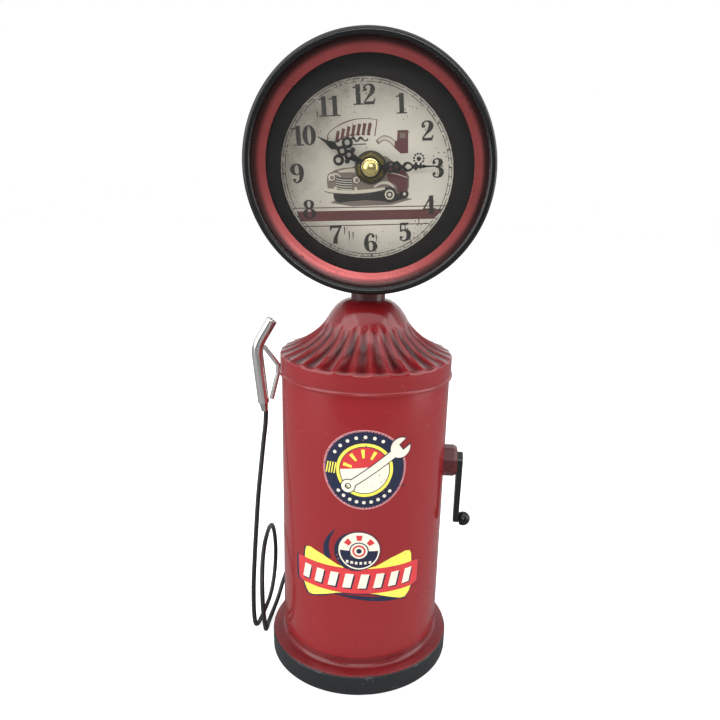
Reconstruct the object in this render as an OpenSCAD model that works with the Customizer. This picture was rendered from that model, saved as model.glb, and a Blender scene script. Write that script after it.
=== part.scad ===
// Table clock shaped like a visible fuel pump: a round drum clock on a neck, a fluted dome cap,
// a rolled steel body, a turned base disc, a side crank and a nozzle on a formed hose.
// Front is -Y, +X is to the right seen from the front, +Z is up. The origin is the centre of the
// face that rests on the table.

/* [Base] */
// Distance that the base disc stands out past the body tube
base_step = 6.3; // [5:0.1:12]
// Height of the top of the black base disc above the table
base_h = 11.6; // [9:0.1:16]
// Thickness of the soft pad under the base disc
pad_t = 1.6; // [1:0.1:3]
// Gap under the rim of the base disc
rim_gap = 0.4; // [0.2:0.1:1]
// Shank radius of the base screws
base_screw_r = 1.5; // [1:0.1:2]
// Distance of the base screws in from the outside of the body tube
base_screw_inset = 7.7; // [7:0.1:12]

/* [Body] */
// Outer radius of the body tube
body_r = 41.7; // [30:0.1:55]
// Wall of the body tube
body_wall = 0.7; // [0.5:0.1:1.2]
// Height of the lower rim of the body tube above the base disc
body_lift = 6.6; // [5.5:0.1:9]
// Length of the body tube that shows below the dome cap
body_len = 139.8; // [90:0.1:180]
// Wall of the flange ring and dome cap
sheet_wall = 0.6; // [0.5:0.1:0.9]

/* [Dome cap] */
// Number of flutes round the skirt
flutes = 30; // [20:1:36]
// Depth of a flute at the scalloped edge
flute_depth = 1.7; // [0.8:0.1:2]
// Height of the dome above its straight collar
dome_h = 26.8; // [20:0.1:34]
// Height of the straight collar
collar_h = 10; // [7:0.1:14]
// Radius of the small bead round the lower edge of the cap
bead_r = 0.45; // [0.3:0.05:0.6]

/* [Neck] */
// Outer radius of the neck tube
neck_r = 8.2; // [6.8:0.1:10]
// Length of the neck tube that shows under the head
neck_len = 4.7; // [3:0.1:12]
// Bore radius of the neck tube
neck_bore_r = 2.3; // [2.2:0.1:5]
// Shank radius of the neck bolt
neck_bolt_r = 2; // [1.5:0.1:2]

/* [Head] */
// Outer radius of the head
head_r = 55.5; // [46:0.5:67]
// Radius of the rolled edge on each rim
roll_r = 1.8; // [1.4:0.1:2]
// Distance of the lens behind the crest of the rolled edge
lens_inset = 4; // [3:0.1:6]
// Depth of the space between the lens and the dial
dial_depth = 6.8; // [6:0.1:10]
// Depth of the recess behind the rear cover
rear_recess = 4.8; // [4:0.1:8]
// Wall of the drum
drum_wall = 0.8; // [0.6:0.1:1]
// Width of the red reflector ring inside the rolled edge
ring_w = 5.6; // [3:0.1:7]
// Thickness of the lens
lens_t = 1.8; // [1.5:0.1:2]
// Thickness of the dial plate
dial_t = 0.7; // [0.5:0.1:1]

/* [Movement] */
// Wall of the movement case
case_wall = 1.5; // [1.2:0.1:2]
// Radius of the threaded bushing
bush_r = 3.9; // [3.7:0.05:4.2]
// Radius of the tube that carries the hour hand
hour_tube_r = 2.6; // [2.4:0.05:2.8]
// Radius of the minute arbor
arbor_r = 1.5; // [1.2:0.05:1.7]
// Module of the gear teeth
gear_m = 0.5; // [0.42:0.01:0.6]
// Flats of the hexagonal nut
nut_af = 11.1; // [10:0.1:12]
// Radius of the dial washer
washer_r = 7.25; // [7:0.05:9]
// Running clearance of shafts in holes
run_gap = 0.05; // [0.02:0.01:0.08]
// Radius of the battery
cell_r = 7.15; // [5.25:0.05:9]
// Length of the battery with its nub
cell_len = 50.5; // [44:0.1:52]

/* [Hands] */
// Length of the minute hand
minute_len = 32; // [26:0.5:38]
// Length of the hour hand
hour_len = 26.7; // [20:0.1:32]
// Thickness of the hands
hand_t = 0.4; // [0.3:0.05:0.5]
// Angle of the minute hand above the right-hand horizontal
minute_angle = 3.5; // [0:0.5:360]
// Angle of the hour hand above the right-hand horizontal
hour_angle = 153; // [0:0.5:360]

/* [Crank] */
// Distance of the crank axis below the dome cap
crank_drop = 46.1; // [20:0.1:70]
// Half the width across the flats of the boss
boss_half = 7.7; // [7:0.1:10]
// Distance that the boss stands out from the body
boss_len = 6.6; // [5:0.1:9]
// Radius of the crank axle
axle_r = 2; // [1.5:0.1:2.5]
// Distance from the crank axis to the knob
crank_len = 33.6; // [25:0.1:40]
// Thickness of the crank arm
arm_t = 2.8; // [2:0.1:4]
// Radius of the ball knob
knob_r = 3.8; // [3:0.1:5]

/* [Nozzle and hose] */
// Radius of the nozzle tube
nozzle_r = 2.8; // [2.4:0.1:3.2]
// Bend radius of the nozzle tube
nozzle_bend = 16; // [13:0.1:20]
// Length of the straight lower stretch of the nozzle
nozzle_low = 24.2; // [20:0.1:26]
// Length of the straight spout
nozzle_spout = 10.8; // [8:0.1:14]
// Radius of the trigger guard rod
guard_r = 1.15; // [0.9:0.05:1.3]
// Radius of the hose
hose_r = 1.2; // [1:0.05:1.4]

/* [Hidden] */
$fn = 96;
eps = 0.01;
slip = 0.1;

// Radii and heights that follow from the sizes above
base_r = body_r + base_step;
base_screw_circle = body_r - base_screw_inset;
body_low = base_h + body_lift;
cap_r = body_r + slip / 2 + sheet_wall;
cap_low = body_low + body_len;
collar_top = cap_low + collar_h;
dome_top = collar_top + dome_h;
head_low = dome_top + neck_len;
head_z = head_low + head_r;
crank_z = cap_low - crank_drop;

// Motion work: teeth, and the distances between its axes
cannon_n = 10;
wheel_n = 30;
pinion_n = 8;
hour_n = 32;
set_n = 20;
gear_gap = gear_m * (cannon_n + wheel_n) / 2;
set_gap = gear_m * (wheel_n + set_n) / 2;
gear_t = 1.2;

// Battery room below the gears, and the case round both
cell_gap = 0.5;
cell_shelf = 1.2;
cell_y = -gear_m * (hour_n / 2 + 0.8) - 0.45 - cell_shelf - 0.3 - cell_r;
case_w = 2 * (cell_r - cell_y + 1.85 + case_wall);
case_depth = 2 * cell_r + 2 * cell_gap + case_wall;

// Places along the head's own axis, forward positive; the case, the dial and the lens set its depth
washer_gap = 1;
cover_gap = 0.3;
head_half = (roll_r + lens_inset + lens_t + dial_depth + dial_t + washer_gap + case_depth + cover_gap
             + rear_recess) / 2;
roll_z = head_half - roll_r;
rim_skirt = 5;
back_z = 2 * roll_r - head_half;
drum_r = head_r - 1.3;
glass_r = drum_r - drum_wall - slip;
roll_inner = head_r - 2 * roll_r;
ring_r = roll_inner - 0.3 - ring_w;
lens_front = roll_z - lens_inset;
lens_back = lens_front - lens_t;
dial_front = lens_back - dial_depth;
dial_back = dial_front - dial_t;
case_front = dial_back - washer_gap;
case_back = case_front - case_depth;
bush_front = dial_front + 3.2;
washer_t = 0.6;
nut_t = 2.2;
hour_z = bush_front + 0.3;
minute_z = hour_z + 1.2;
rear_z = case_back - cover_gap;

// Motion work: its places on the case
set_dir = 16;
wheel_c = [0, gear_gap];
set_c = wheel_c + set_gap * [cos(set_dir), sin(set_dir)];
wheel_phase = 270 + 180 / wheel_n;
set_lead = wheel_phase - set_dir - 360 / wheel_n * floor((wheel_phase - set_dir) * wheel_n / 360);
set_phase = set_dir + 180 - set_lead * wheel_n / set_n + 180 / set_n;
hour_layer = case_front - case_wall - 1.6;
wheel_layer = hour_layer - 1.8;
cell_z = case_back + cell_r + cell_gap;

// Neck joint: room round the bolt, thickness of the crown under it, and its two washers
bolt_gap = 0.3;
crown_t = 3.4;
neck_washer_t = [0.8, 1];
seat_z = head_z - drum_r + drum_wall + 0.2 + neck_washer_t[0];

// Crank places along X
boss_end = body_r + boss_len;
arm_x = boss_end + 0.2;
knob_x = arm_x + arm_t + knob_r * 0.68;

// Nozzle: centre of its bend, and the leans of its two straight stretches
guard_out = cap_r + bead_r + guard_r + 0.05;
bend_x = -(cap_r + 12) + nozzle_bend;
bend_z = cap_low + 7;
spout_lean = 30;
low_lean = 5.9;
low_x = bend_x - nozzle_bend * cos(low_lean);
low_z = bend_z - nozzle_bend * sin(low_lean);
end_x = low_x + nozzle_low * sin(low_lean);
end_z = low_z - nozzle_low * cos(low_lean);

// Route of the hose, from the socket in the back of the body to the nozzle
hose_route = [[-32, 32, 33], [-36, 36, 32.5], [-41, 37.5, 29], [-45.5, 35.5, 23], [-48.5, 31, 15.5],
              [-50.5, 25, 8], [-52.5, 17.5, 3], [-53.6, 9, 1.3], [-52.8, 0, 4], [-51.6, -9, 10],
              [-51, -15, 20], [-51.2, -17, 31], [-52, -13.5, 42.5], [-52.8, -7, 51.5], [-53.2, 1, 57],
              [-53.4, 11, 59], [-53.7, 20, 58], [-54.1, 29.5, 53], [-54.4, 37, 43], [-54.6, 40.5, 32],
              [-54.8, 39.5, 22], [-55.2, 35, 13], [-56, 28, 6.5], [-57.5, 20, 2.8], [-58.8, 11, 1.3],
              [-58.8, 3, 4], [-58.2, -5, 11], [-57.4, -11, 24], [-56.6, -13.5, 40], [-55.6, -14, 56],
              [-54.6, -12.5, 74], [-53.6, -10, 92], [-52.6, -6, 107], [-51.8, -2.5, 119],
              [-51, -0.5, 128], [-50.7, 0, 135]];

socket_r = hose_r + 1;

// Curves and sweeps
function mix(a, b, t) = a * (1 - t) + b * t;
function spline(p, i, t) =
    let (a = p[max(i - 1, 0)], b = p[i], c = p[i + 1], d = p[min(i + 2, len(p) - 1)])
    0.5 * (2 * b + (c - a) * t + (2 * a - 5 * b + 4 * c - d) * t * t + (3 * b - a - 3 * c + d) * t * t * t);
function along(p, steps) =
    [for (i = [0 : len(p) - 2]) for (k = [0 : steps - 1]) spline(p, i, k / steps), p[len(p) - 1]];
function unit(v) = v / norm(v);
function turn(p, i) = unit(p[min(i + 1, len(p) - 1)] - p[max(i - 1, 0)]);
function side(t) = unit(cross(t, abs(t[0]) > 0.9 ? [0, 1, 0] : [1, 0, 0]));

module sweep(path, r, sides) {
    rings = len(path);
    points = [for (i = [0 : rings - 1])
        let (t = turn(path, i), u = side(t), v = cross(t, u))
        for (k = [0 : sides - 1]) path[i] + r * (cos(360 * k / sides) * u + sin(360 * k / sides) * v)];
    walls = [for (i = [0 : rings - 2]) for (k = [0 : sides - 1])
        let (a = i * sides, b = a + sides, n = (k + 1) % sides) [a + n, a + k, b + k, b + n]];
    ends = [[for (k = [0 : sides - 1]) k], [for (k = [sides - 1 : -1 : 0]) (rings - 1) * sides + k]];
    polyhedron(points, concat(walls, ends), convexity = 10);
}

module ring(r_out, r_in, z0, z1) {
    rotate_extrude() translate([r_in, z0]) square([r_out - r_in, z1 - z0]);
}

module disc(r, z0, z1) {
    translate([0, 0, z0]) cylinder(r = r, h = z1 - z0);
}

// Moves a shape from the head's own axis to its place: local Z is forward, local Y is up
module head() {
    translate([0, 0, head_z]) rotate([90, 0, 0]) children();
}

// Moves a shape from the crank's own axis to its place: local Z is +X, local X is down
module crank() {
    translate([0, 0, crank_z]) rotate([0, 90, 0]) children();
}

// Moves a shape from the hose socket's own axis to its place: local Z points out of the body
module socket() {
    rotate(atan2(hose_route[0][1], hose_route[0][0])) translate([0, 0, hose_route[0][2]])
        rotate([0, 90, 0]) children();
}

module gear(n, h) {
    pitch = 360 / n;
    root = gear_m * (n / 2 - 1.2);
    tip = gear_m * (n / 2 + 0.8);
    linear_extrude(h) polygon([for (i = [0 : n - 1]) for (s = [[root, -0.27], [tip, -0.1], [tip, 0.1], [root, 0.27]])
        s[0] * [cos(pitch * (i + s[1])), sin(pitch * (i + s[1]))]]);
}

// Base
module base_pad() {
    color("dimgray") disc(base_r - 3, 0, pad_t);
}

module base_disc() {
    color([0.13, 0.14, 0.15]) difference() {
        rotate_extrude() polygon([[0, rim_gap], [base_r - 0.8, rim_gap], [base_r, rim_gap + 0.8],
            [base_r, base_h - 0.5], [base_r - 0.5, base_h], [0, base_h]]);
        disc(base_r - 2.8, -1, pad_t);
        for (a = [90, 210, 330]) rotate(a) translate([base_screw_circle, 0, 0]) {
            disc(base_screw_r + 0.1, -1, base_h + 1);
            disc(base_screw_r * 2 + 0.2, -1, pad_t + 2);
        }
    }
}

module base_screws() {
    color("silver") for (a = [90, 210, 330]) rotate(a) translate([base_screw_circle, 0, 0]) {
        disc(base_screw_r * 2, pad_t + 0.3, pad_t + 2);
        disc(base_screw_r, pad_t + 2 - eps, base_h + 4);
    }
}

module base_flange() {
    wall_out = body_r - body_wall - slip;
    wall_in = wall_out - sheet_wall;
    lip = base_r - 0.4;
    fillet = 2.4;
    color([0.45, 0.10, 0.12]) difference() {
        rotate_extrude() difference() {
            polygon([[base_screw_circle - 4, base_h], [lip, base_h], [lip, base_h + 0.7],
                [wall_out + fillet, base_h + 1.4], [wall_out + fillet, base_h + 1.4 + fillet],
                [wall_out, base_h + 1.4 + fillet], [wall_out, body_low + 6], [wall_in, body_low + 6],
                [wall_in, base_h + 1.2], [base_screw_circle - 4, base_h + 1.2]]);
            translate([wall_out + fillet, base_h + 1.4 + fillet]) circle(r = fillet);
        }
        for (a = [90, 210, 330]) rotate(a) translate([base_screw_circle, 0, 0])
            disc(base_screw_r + eps, base_h - 1, base_h + 2);
    }
}

// Body
module body_tube() {
    color([0.62, 0.16, 0.18]) difference() {
        ring(body_r, body_r - body_wall, body_low, collar_top - 4);
        crank() disc(axle_r + 0.3, 0, body_r + 5);
        socket() disc(socket_r, 0, body_r + 5);
    }
}

// A point of the dome's outline: its share of the way from neck to collar, its share of the dome's
// height down from the top, and the depth of the flutes there
function dome(across, down, flute = 0) =
    [mix(neck_r, cap_r, across), dome_top - down * dome_h, flute * flute_depth];
function dome_outer() = [[neck_r - 0.4, dome_top], dome(0.1054, 0.041), dome(0.205, 0.1343),
    dome(0.2782, 0.2537), dome(0.328, 0.3582), dome(0.3982, 0.4776, 0.294), dome(0.4861, 0.597, 0.53),
    dome(0.6032, 0.7164, 0.706), dome(0.7321, 0.8209, 0.824), dome(0.8609, 0.903, 1),
    [cap_r - 0.9, dome_top - 0.959 * dome_h, flute_depth], [cap_r, collar_top + 0.3, 0.206 * flute_depth],
    [cap_r, collar_top - 1.4, 0]];
function dome_inner() = [[cap_r - sheet_wall, cap_low], [cap_r - sheet_wall, collar_top - 2.6],
    dome(0.7848, 1.0224), dome(0.5505, 0.8433), dome(0.3455, 0.6157), dome(0.2284, 0.3507),
    dome(0.1552, 0.2239), [mix(neck_r, cap_r, 0.0527), dome_top - crown_t],
    [neck_bolt_r + bolt_gap, dome_top - crown_t], [neck_bolt_r + bolt_gap, dome_top]];

module dome_cap() {
    outer = concat(dome_outer(), [[cap_r, cap_low + 2 * bead_r], [cap_r + bead_r, cap_low + 1.6 * bead_r],
        [cap_r + bead_r, cap_low + 0.4 * bead_r], [cap_r, cap_low]]);
    profile = concat(outer, dome_inner());
    cols = flutes * 4;
    rings = len(profile);
    points = [for (p = profile) for (k = [0 : cols - 1])
        let (a = 360 * k / cols, d = len(p) > 2 ? p[2] : 0, r = p[0] - d * (1 - cos(360 * k / 4)) / 2)
        [r * cos(a), r * sin(a), p[1]]];
    faces = [for (i = [0 : rings - 1]) for (k = [0 : cols - 1])
        let (a = i * cols, b = ((i + 1) % rings) * cols, n = (k + 1) % cols)
        each [[a + k, b + k, b + n], [a + k, b + n, a + n]]];
    color([0.55, 0.12, 0.14]) polyhedron(points, [for (f = faces) [f[2], f[1], f[0]]], convexity = 10);
}

// Neck
module neck_tube() {
    color([0.4, 0.1, 0.12]) difference() {
        disc(neck_r, dome_top, head_low + 4);
        disc(neck_bore_r, dome_top - 1, head_low + 5);
        head() disc(drum_r + 0.02, -head_half, head_half);
        head() disc(head_r, roll_z - rim_skirt - 0.2, head_half + 5);
        head() disc(head_r, -head_half - 5, 0.2 + rim_skirt - roll_z);
    }
}

module neck_bolt() {
    color("silver") {
        disc(neck_bolt_r, dome_top - 12, seat_z + 1);
        difference() {
            disc(neck_bolt_r + 1.5, seat_z, seat_z + 2.8);
            translate([-5, -0.5, seat_z + 1.6]) cube([10, 1, 3]);
        }
    }
}

module neck_washers() {
    color("silver") {
        ring(neck_bolt_r + 1.8, neck_bolt_r + run_gap, seat_z - neck_washer_t[0], seat_z);
        ring(neck_r + 0.3, neck_bolt_r + run_gap, dome_top - crown_t - neck_washer_t[1], dome_top - crown_t);
    }
}

module neck_nut() {
    color("silver") difference() {
        translate([0, 0, dome_top - crown_t - neck_washer_t[1] - 5])
            cylinder(r = neck_bolt_r * 2.9, h = 5, $fn = 6);
        disc(neck_bolt_r, dome_top - 12, dome_top);
    }
}

// Head
module drum_shell() {
    color([0.55, 0.12, 0.14]) difference() {
        head() ring(drum_r, drum_r - drum_wall, back_z, -back_z);
        disc(neck_bolt_r + bolt_gap, head_low - 5, head_low + 10);
    }
}

module rim_profile() {
    translate([drum_r + slip, roll_z - rim_skirt]) square([head_r - drum_r - slip, rim_skirt]);
    translate([head_r - roll_r, roll_z]) circle(r = roll_r);
}

module front_bezel() {
    color([0.06, 0.06, 0.07]) head() rotate_extrude() rim_profile();
}

module rear_rim() {
    color([0.06, 0.06, 0.07]) head() mirror([0, 0, 1]) rotate_extrude() rim_profile();
}

module reflector_ring() {
    seat = roll_z - roll_r;
    color([0.62, 0.14, 0.16]) head() rotate_extrude() polygon([
        [glass_r, seat - slip], [ring_r + ring_w, seat - slip], [ring_r + 0.7 * ring_w, seat - 0.8],
        [ring_r + 0.3 * ring_w, seat - 1.6], [ring_r, seat - 1.8], [ring_r, seat - 2.1],
        [ring_r + 0.3 * ring_w, seat - 2.1], [glass_r, seat - 2.1]]);
}

module lens() {
    color([0.8, 0.9, 0.95, 0.3]) head() disc(glass_r, lens_back, lens_front);
}

module spacer_ring() {
    color([0.08, 0.08, 0.08]) head()
        ring(glass_r, glass_r - 1.5, dial_front, lens_back);
}

module dial_plate() {
    color([0.88, 0.82, 0.68]) head() difference() {
        disc(glass_r, dial_back, dial_front);
        disc(bush_r + slip, dial_back - 1, dial_front + 1);
    }
}

module rear_cover() {
    color([0.1, 0.1, 0.11]) head() difference() {
        disc(glass_r, rear_z, rear_z + 0.8);
        translate([-case_w / 2 - 0.4, -case_w / 2 - 0.4, rear_z - 1]) cube([case_w + 0.8, case_w + 0.8, 3]);
        for (a = [0 : 90 : 270]) rotate(a) translate([drum_r - 8, 0, 0]) disc(1.6, rear_z - 1, rear_z + 2);
    }
}

module rear_screws() {
    color("silver") head() for (a = [0 : 90 : 270]) rotate(a) translate([drum_r - 8, 0, 0]) {
        disc(2.8, rear_z - 1.4, rear_z);
        disc(1.5, rear_z - eps, rear_z + 8);
    }
}

// Movement
module case_block(z0, z1, w) {
    translate([-w / 2, -w / 2, z0]) cube([w, w, z1 - z0]);
}

module movement_case() {
    inner = case_w - 2 * case_wall;
    color([0.09, 0.09, 0.1]) head() {
        difference() {
            case_block(case_back + 1.6, case_front, case_w);
            difference() {
                case_block(case_back, case_front - case_wall, inner);
                translate([-case_w / 2, cell_y + cell_r + 0.3, case_back]) cube([case_w, cell_shelf, 30]);
            }
            disc(bush_r, case_back, case_front + 1);
        }
        translate([wheel_c[0], wheel_c[1], 0]) disc(0.8, wheel_layer - 2, case_front - case_wall + eps);
    }
}

module movement_cover() {
    color([0.11, 0.11, 0.12]) head() difference() {
        case_block(case_back, case_back + 1.5, case_w);
        translate([-cell_len / 2 - 0.8, cell_y - cell_r - 0.2, case_back - 1])
            cube([cell_len + 1.6, 2 * cell_r + 0.4, 4]);
        translate([set_c[0], set_c[1], 0]) disc(1.2 + run_gap, case_back - 1, case_back + 3);
    }
}

module battery() {
    color([0.2, 0.45, 0.3]) head() translate([-cell_len / 2, cell_y, cell_z]) rotate([0, 90, 0]) {
        disc(cell_r, 0, cell_len - 1);
        disc(2.7, 0, cell_len);
    }
}

module battery_contacts() {
    color("gold") head() for (x = [-cell_len / 2 - 0.65, cell_len / 2 + 0.15])
        translate([x, cell_y - 4, cell_z - 4]) cube([0.5, 8, 8]);
}

module circuit_board() {
    color("darkgreen") head() translate([-25, 4, case_back + 2.6]) cube([17, 21, 1]);
}

module coil() {
    color("chocolate") head() translate([-20.5, 4, wheel_layer - 3.2]) rotate([-90, 0, 0]) {
        disc(3, 0, 20);
        disc(4, 0, 1);
        disc(4, 19, 20);
    }
}

module stator() {
    color("silver") head() difference() {
        translate([-25, 20.2, wheel_layer + 1.2]) cube([18, 5, 0.8]);
        translate([-11, 22.7, 0]) disc(1.8, wheel_layer, wheel_layer + 3);
    }
}

module rotor() {
    color("dimgray") head() translate([-11, 22.7, 0]) {
        disc(1.5, wheel_layer + 0.4, wheel_layer + 2.6);
        disc(0.5, wheel_layer - 3, wheel_layer + 3.4);
    }
}

module threaded_bushing() {
    color("goldenrod") head() difference() {
        union() {
            disc(bush_r, case_front - case_wall, bush_front);
            disc(bush_r + 1, case_front - case_wall - 0.2, case_front - case_wall);
        }
        disc(hour_tube_r + run_gap, case_front - 5, bush_front + 1);
    }
}

module rubber_washer() {
    color([0.05, 0.05, 0.05]) head() ring(bush_r + 5.1, bush_r + slip, case_front, dial_back);
}

module dial_washer() {
    color([0.16, 0.14, 0.12]) head() ring(washer_r, bush_r + slip, dial_front, dial_front + washer_t);
}

module hex_nut() {
    low = dial_front + washer_t;
    color("goldenrod") head() difference() {
        intersection() {
            rotate(30) translate([0, 0, low]) cylinder(r = nut_af / sqrt(3), h = nut_t, $fn = 6);
            rotate_extrude() polygon([[0, low], [nut_af * 0.6, low], [nut_af * 0.6, low + nut_t - 0.7],
                [nut_af * 0.49, low + nut_t], [0, low + nut_t]]);
        }
        disc(bush_r + run_gap, low - 1, low + nut_t + 1);
    }
}

module cannon_pinion() {
    color("goldenrod") head() {
        disc(arbor_r, wheel_layer - 3, minute_z + hand_t);
        translate([0, 0, wheel_layer]) rotate(90) gear(cannon_n, gear_t);
        disc(4, wheel_layer - 3, wheel_layer - 2.2);
    }
}

module minute_wheel() {
    color("ivory") head() translate([wheel_c[0], wheel_c[1], 0]) difference() {
        union() {
            translate([0, 0, wheel_layer]) rotate(wheel_phase) gear(wheel_n, gear_t);
            translate([0, 0, wheel_layer + gear_t - eps]) rotate(270) gear(pinion_n, hour_layer - wheel_layer);
        }
        disc(0.8 + run_gap, wheel_layer - 1, case_front);
    }
}

module hour_wheel() {
    color("ivory") head() difference() {
        union() {
            translate([0, 0, hour_layer]) rotate(90 + 180 / hour_n) gear(hour_n, gear_t);
            disc(hour_tube_r, hour_layer, hour_z + hand_t);
        }
        disc(arbor_r + run_gap, hour_layer - 1, hour_z + 2);
    }
}

module setting_knob() {
    color([0.14, 0.14, 0.15]) head() translate([set_c[0], set_c[1], 0]) {
        translate([0, 0, wheel_layer]) rotate(set_phase) gear(set_n, gear_t);
        disc(1.2, case_back - 1, wheel_layer + eps);
        difference() {
            disc(6, case_back - 3.2, case_back - 0.4);
            for (i = [0 : 23]) rotate(15 * i) translate([6.2, 0, 0]) disc(0.45, case_back - 4, case_back);
        }
    }
}

// Hands: a hub, a pierced lobed blade and a pointed tip, lying along local X
module hand(len, lobe, hub, bore, z0) {
    translate([0, 0, z0]) difference() {
        union() {
            disc(hub, 0, hand_t);
            linear_extrude(hand_t)
                polygon([[0, 1.2], [len * 0.48, 0.8], [len * 0.48, -0.8], [0, -1.2]]);
            translate([len * 0.48, 0, 0]) disc(lobe, 0, hand_t);
            for (s = [-1, 1]) translate([len * 0.6, s * lobe * 0.55, 0]) disc(lobe * 0.75, 0, hand_t);
            linear_extrude(hand_t) polygon([[len * 0.6, lobe * 0.8], [len * 0.78, 0.9], [len, 0.15],
                [len, -0.15], [len * 0.78, -0.9], [len * 0.6, -lobe * 0.8]]);
        }
        disc(bore, -1, 2);
        translate([len * 0.48, 0, 0]) disc(lobe * 0.45, -1, 2);
    }
}

module hour_hand() {
    color([0.05, 0.05, 0.05]) head() rotate(hour_angle) hand(hour_len, 3.2, 4.8, hour_tube_r, hour_z);
}

module minute_hand() {
    color([0.05, 0.05, 0.05]) head() rotate(minute_angle) hand(minute_len, 2.4, 4.5, arbor_r, minute_z);
}

module cap_nut() {
    base = minute_z + hand_t;
    color("gold") head() intersection() {
        disc(3.9, base, base + 1.5);
        translate([0, 0, base + 1.5 - 8]) sphere(r = 8);
    }
}

// Crank
module crank_boss() {
    chamfer = boss_end - 1.8;
    color([0.35, 0.08, 0.1]) difference() {
        intersection() {
            crank() rotate(22.5) translate([0, 0, body_r - 3])
                cylinder(r = boss_half / cos(22.5), h = boss_len + 3, $fn = 8);
            crank() rotate_extrude() polygon([[0, 0], [boss_half * 1.1, 0], [boss_half * 1.1, chamfer],
                [boss_half * 0.9, boss_end], [0, boss_end]]);
        }
        cylinder(r = body_r + 0.02, h = 400);
        crank() disc(axle_r + run_gap, 0, boss_end + 1);
    }
}

module crank_axle() {
    color("silver") crank() disc(axle_r, body_r - 9, arm_x + arm_t - 0.6);
}

module crank_clip() {
    color("dimgray") crank() ring(axle_r + 2, axle_r, body_r - 4, body_r - 3.2);
}

module crank_arm() {
    hub = axle_r + 2.6;
    tip = 3.1;
    color([0.1, 0.1, 0.11]) crank() difference() {
        union() {
            disc(hub, arm_x, arm_x + arm_t);
            translate([crank_len - 0.4, 0, 0]) disc(tip, arm_x, arm_x + arm_t);
            translate([0, 0, arm_x]) linear_extrude(arm_t)
                polygon([[0, hub], [crank_len - 0.4, tip], [crank_len - 0.4, -tip], [0, -hub]]);
        }
        disc(axle_r, arm_x - 1, arm_x + arm_t - 0.6);
    }
}

module crank_knob() {
    color([0.07, 0.07, 0.08]) crank() intersection() {
        translate([crank_len, 0, knob_x]) sphere(r = knob_r);
        translate([crank_len, 0, 0]) disc(knob_r + 1, arm_x + arm_t, knob_x + knob_r + 1);
    }
}

// Nozzle and hose
module nozzle_run(r, extra) {
    arc = [for (a = [-low_lean : (spout_lean + low_lean) / 8 : spout_lean + eps])
        [bend_x - nozzle_bend * cos(a), 0, bend_z + nozzle_bend * sin(a)]];
    foot = arc[0] - (nozzle_low + extra) * [-sin(low_lean), 0, cos(low_lean)];
    tip = arc[8] + (nozzle_spout + extra) * [sin(spout_lean), 0, cos(spout_lean)];
    sweep(concat([foot], arc, [tip]), r, 24);
}

module nozzle_tube() {
    color("silver") difference() {
        nozzle_run(nozzle_r, 0);
        nozzle_run(nozzle_r - 0.5, 1);
    }
}

module trigger_guard() {
    top = [bend_x - nozzle_bend * cos(14) + nozzle_r, 0, bend_z + nozzle_bend * sin(14)];
    knee = [-guard_out, 0, bend_z - 5.6];
    heel = [-guard_out - 0.2, 0, bend_z - 9.4];
    foot = [end_x + nozzle_r + guard_r * 1.2, 0, end_z + 2.4];
    bend = [for (t = [0.04, 0.35, 0.65, 0.96]) mix(top, knee, t)];
    drop = [for (t = [0.1, 0.4, 0.7, 1]) mix(heel, foot, t)];
    color("silver") sweep(along(concat([top], bend, [knee, heel], drop), 2), guard_r, 12);
}

module nozzle_ferrule() {
    color("gray") translate([end_x, 0, end_z]) rotate([0, 180 - low_lean, 0]) {
        disc(nozzle_r - 0.62, -4, 0);
        cylinder(r1 = 2.2, r2 = 1.6, h = 4.4);
    }
}

module hose_socket() {
    color([0.08, 0.08, 0.08]) socket() {
        disc(socket_r, body_r - 3, body_r + 3.8);
        disc(socket_r + 1.2, body_r + 0.25, body_r + 1.4);
    }
}

module hose() {
    color([0.07, 0.07, 0.07]) sweep(along(hose_route, 2), hose_r, 8);
}

base_pad();
base_disc();
base_screws();
base_flange();
body_tube();
dome_cap();
neck_tube();
neck_bolt();
neck_washers();
neck_nut();
drum_shell();
front_bezel();
reflector_ring();
lens();
spacer_ring();
dial_plate();
rear_rim();
rear_cover();
rear_screws();
movement_case();
movement_cover();
battery();
battery_contacts();
circuit_board();
coil();
stator();
rotor();
threaded_bushing();
rubber_washer();
dial_washer();
hex_nut();
cannon_pinion();
minute_wheel();
hour_wheel();
setting_knob();
hour_hand();
minute_hand();
cap_nut();
crank_boss();
crank_axle();
crank_clip();
crank_arm();
crank_knob();
nozzle_tube();
trigger_guard();
nozzle_ferrule();
hose_socket();
hose();
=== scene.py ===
import math
import random

import bmesh
import bpy
from mathutils import Matrix, Vector
from mathutils.geometry import delaunay_2d_cdt


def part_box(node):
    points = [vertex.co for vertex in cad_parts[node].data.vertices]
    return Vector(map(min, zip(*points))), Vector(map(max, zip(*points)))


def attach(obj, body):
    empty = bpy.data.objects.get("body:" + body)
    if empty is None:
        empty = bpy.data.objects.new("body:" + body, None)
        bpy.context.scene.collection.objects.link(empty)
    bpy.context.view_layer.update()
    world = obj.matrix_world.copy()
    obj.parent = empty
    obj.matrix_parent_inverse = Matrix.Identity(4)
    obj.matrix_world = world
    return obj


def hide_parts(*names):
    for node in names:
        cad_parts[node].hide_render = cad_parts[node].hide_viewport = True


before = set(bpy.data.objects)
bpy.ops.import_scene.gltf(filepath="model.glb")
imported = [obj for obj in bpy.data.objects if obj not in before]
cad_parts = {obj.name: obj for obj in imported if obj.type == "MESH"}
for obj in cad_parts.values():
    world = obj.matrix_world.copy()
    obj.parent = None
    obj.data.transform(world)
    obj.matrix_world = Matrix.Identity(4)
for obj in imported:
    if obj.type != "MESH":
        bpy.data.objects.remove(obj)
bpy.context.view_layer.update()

# Studio. A plain pale table top, a white room that is darker on the side the viewer stands, and four
# soft boxes. The camera looks slightly down on the clock from close by.
scene = bpy.context.scene
scene.view_settings.view_transform = "Standard"

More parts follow.
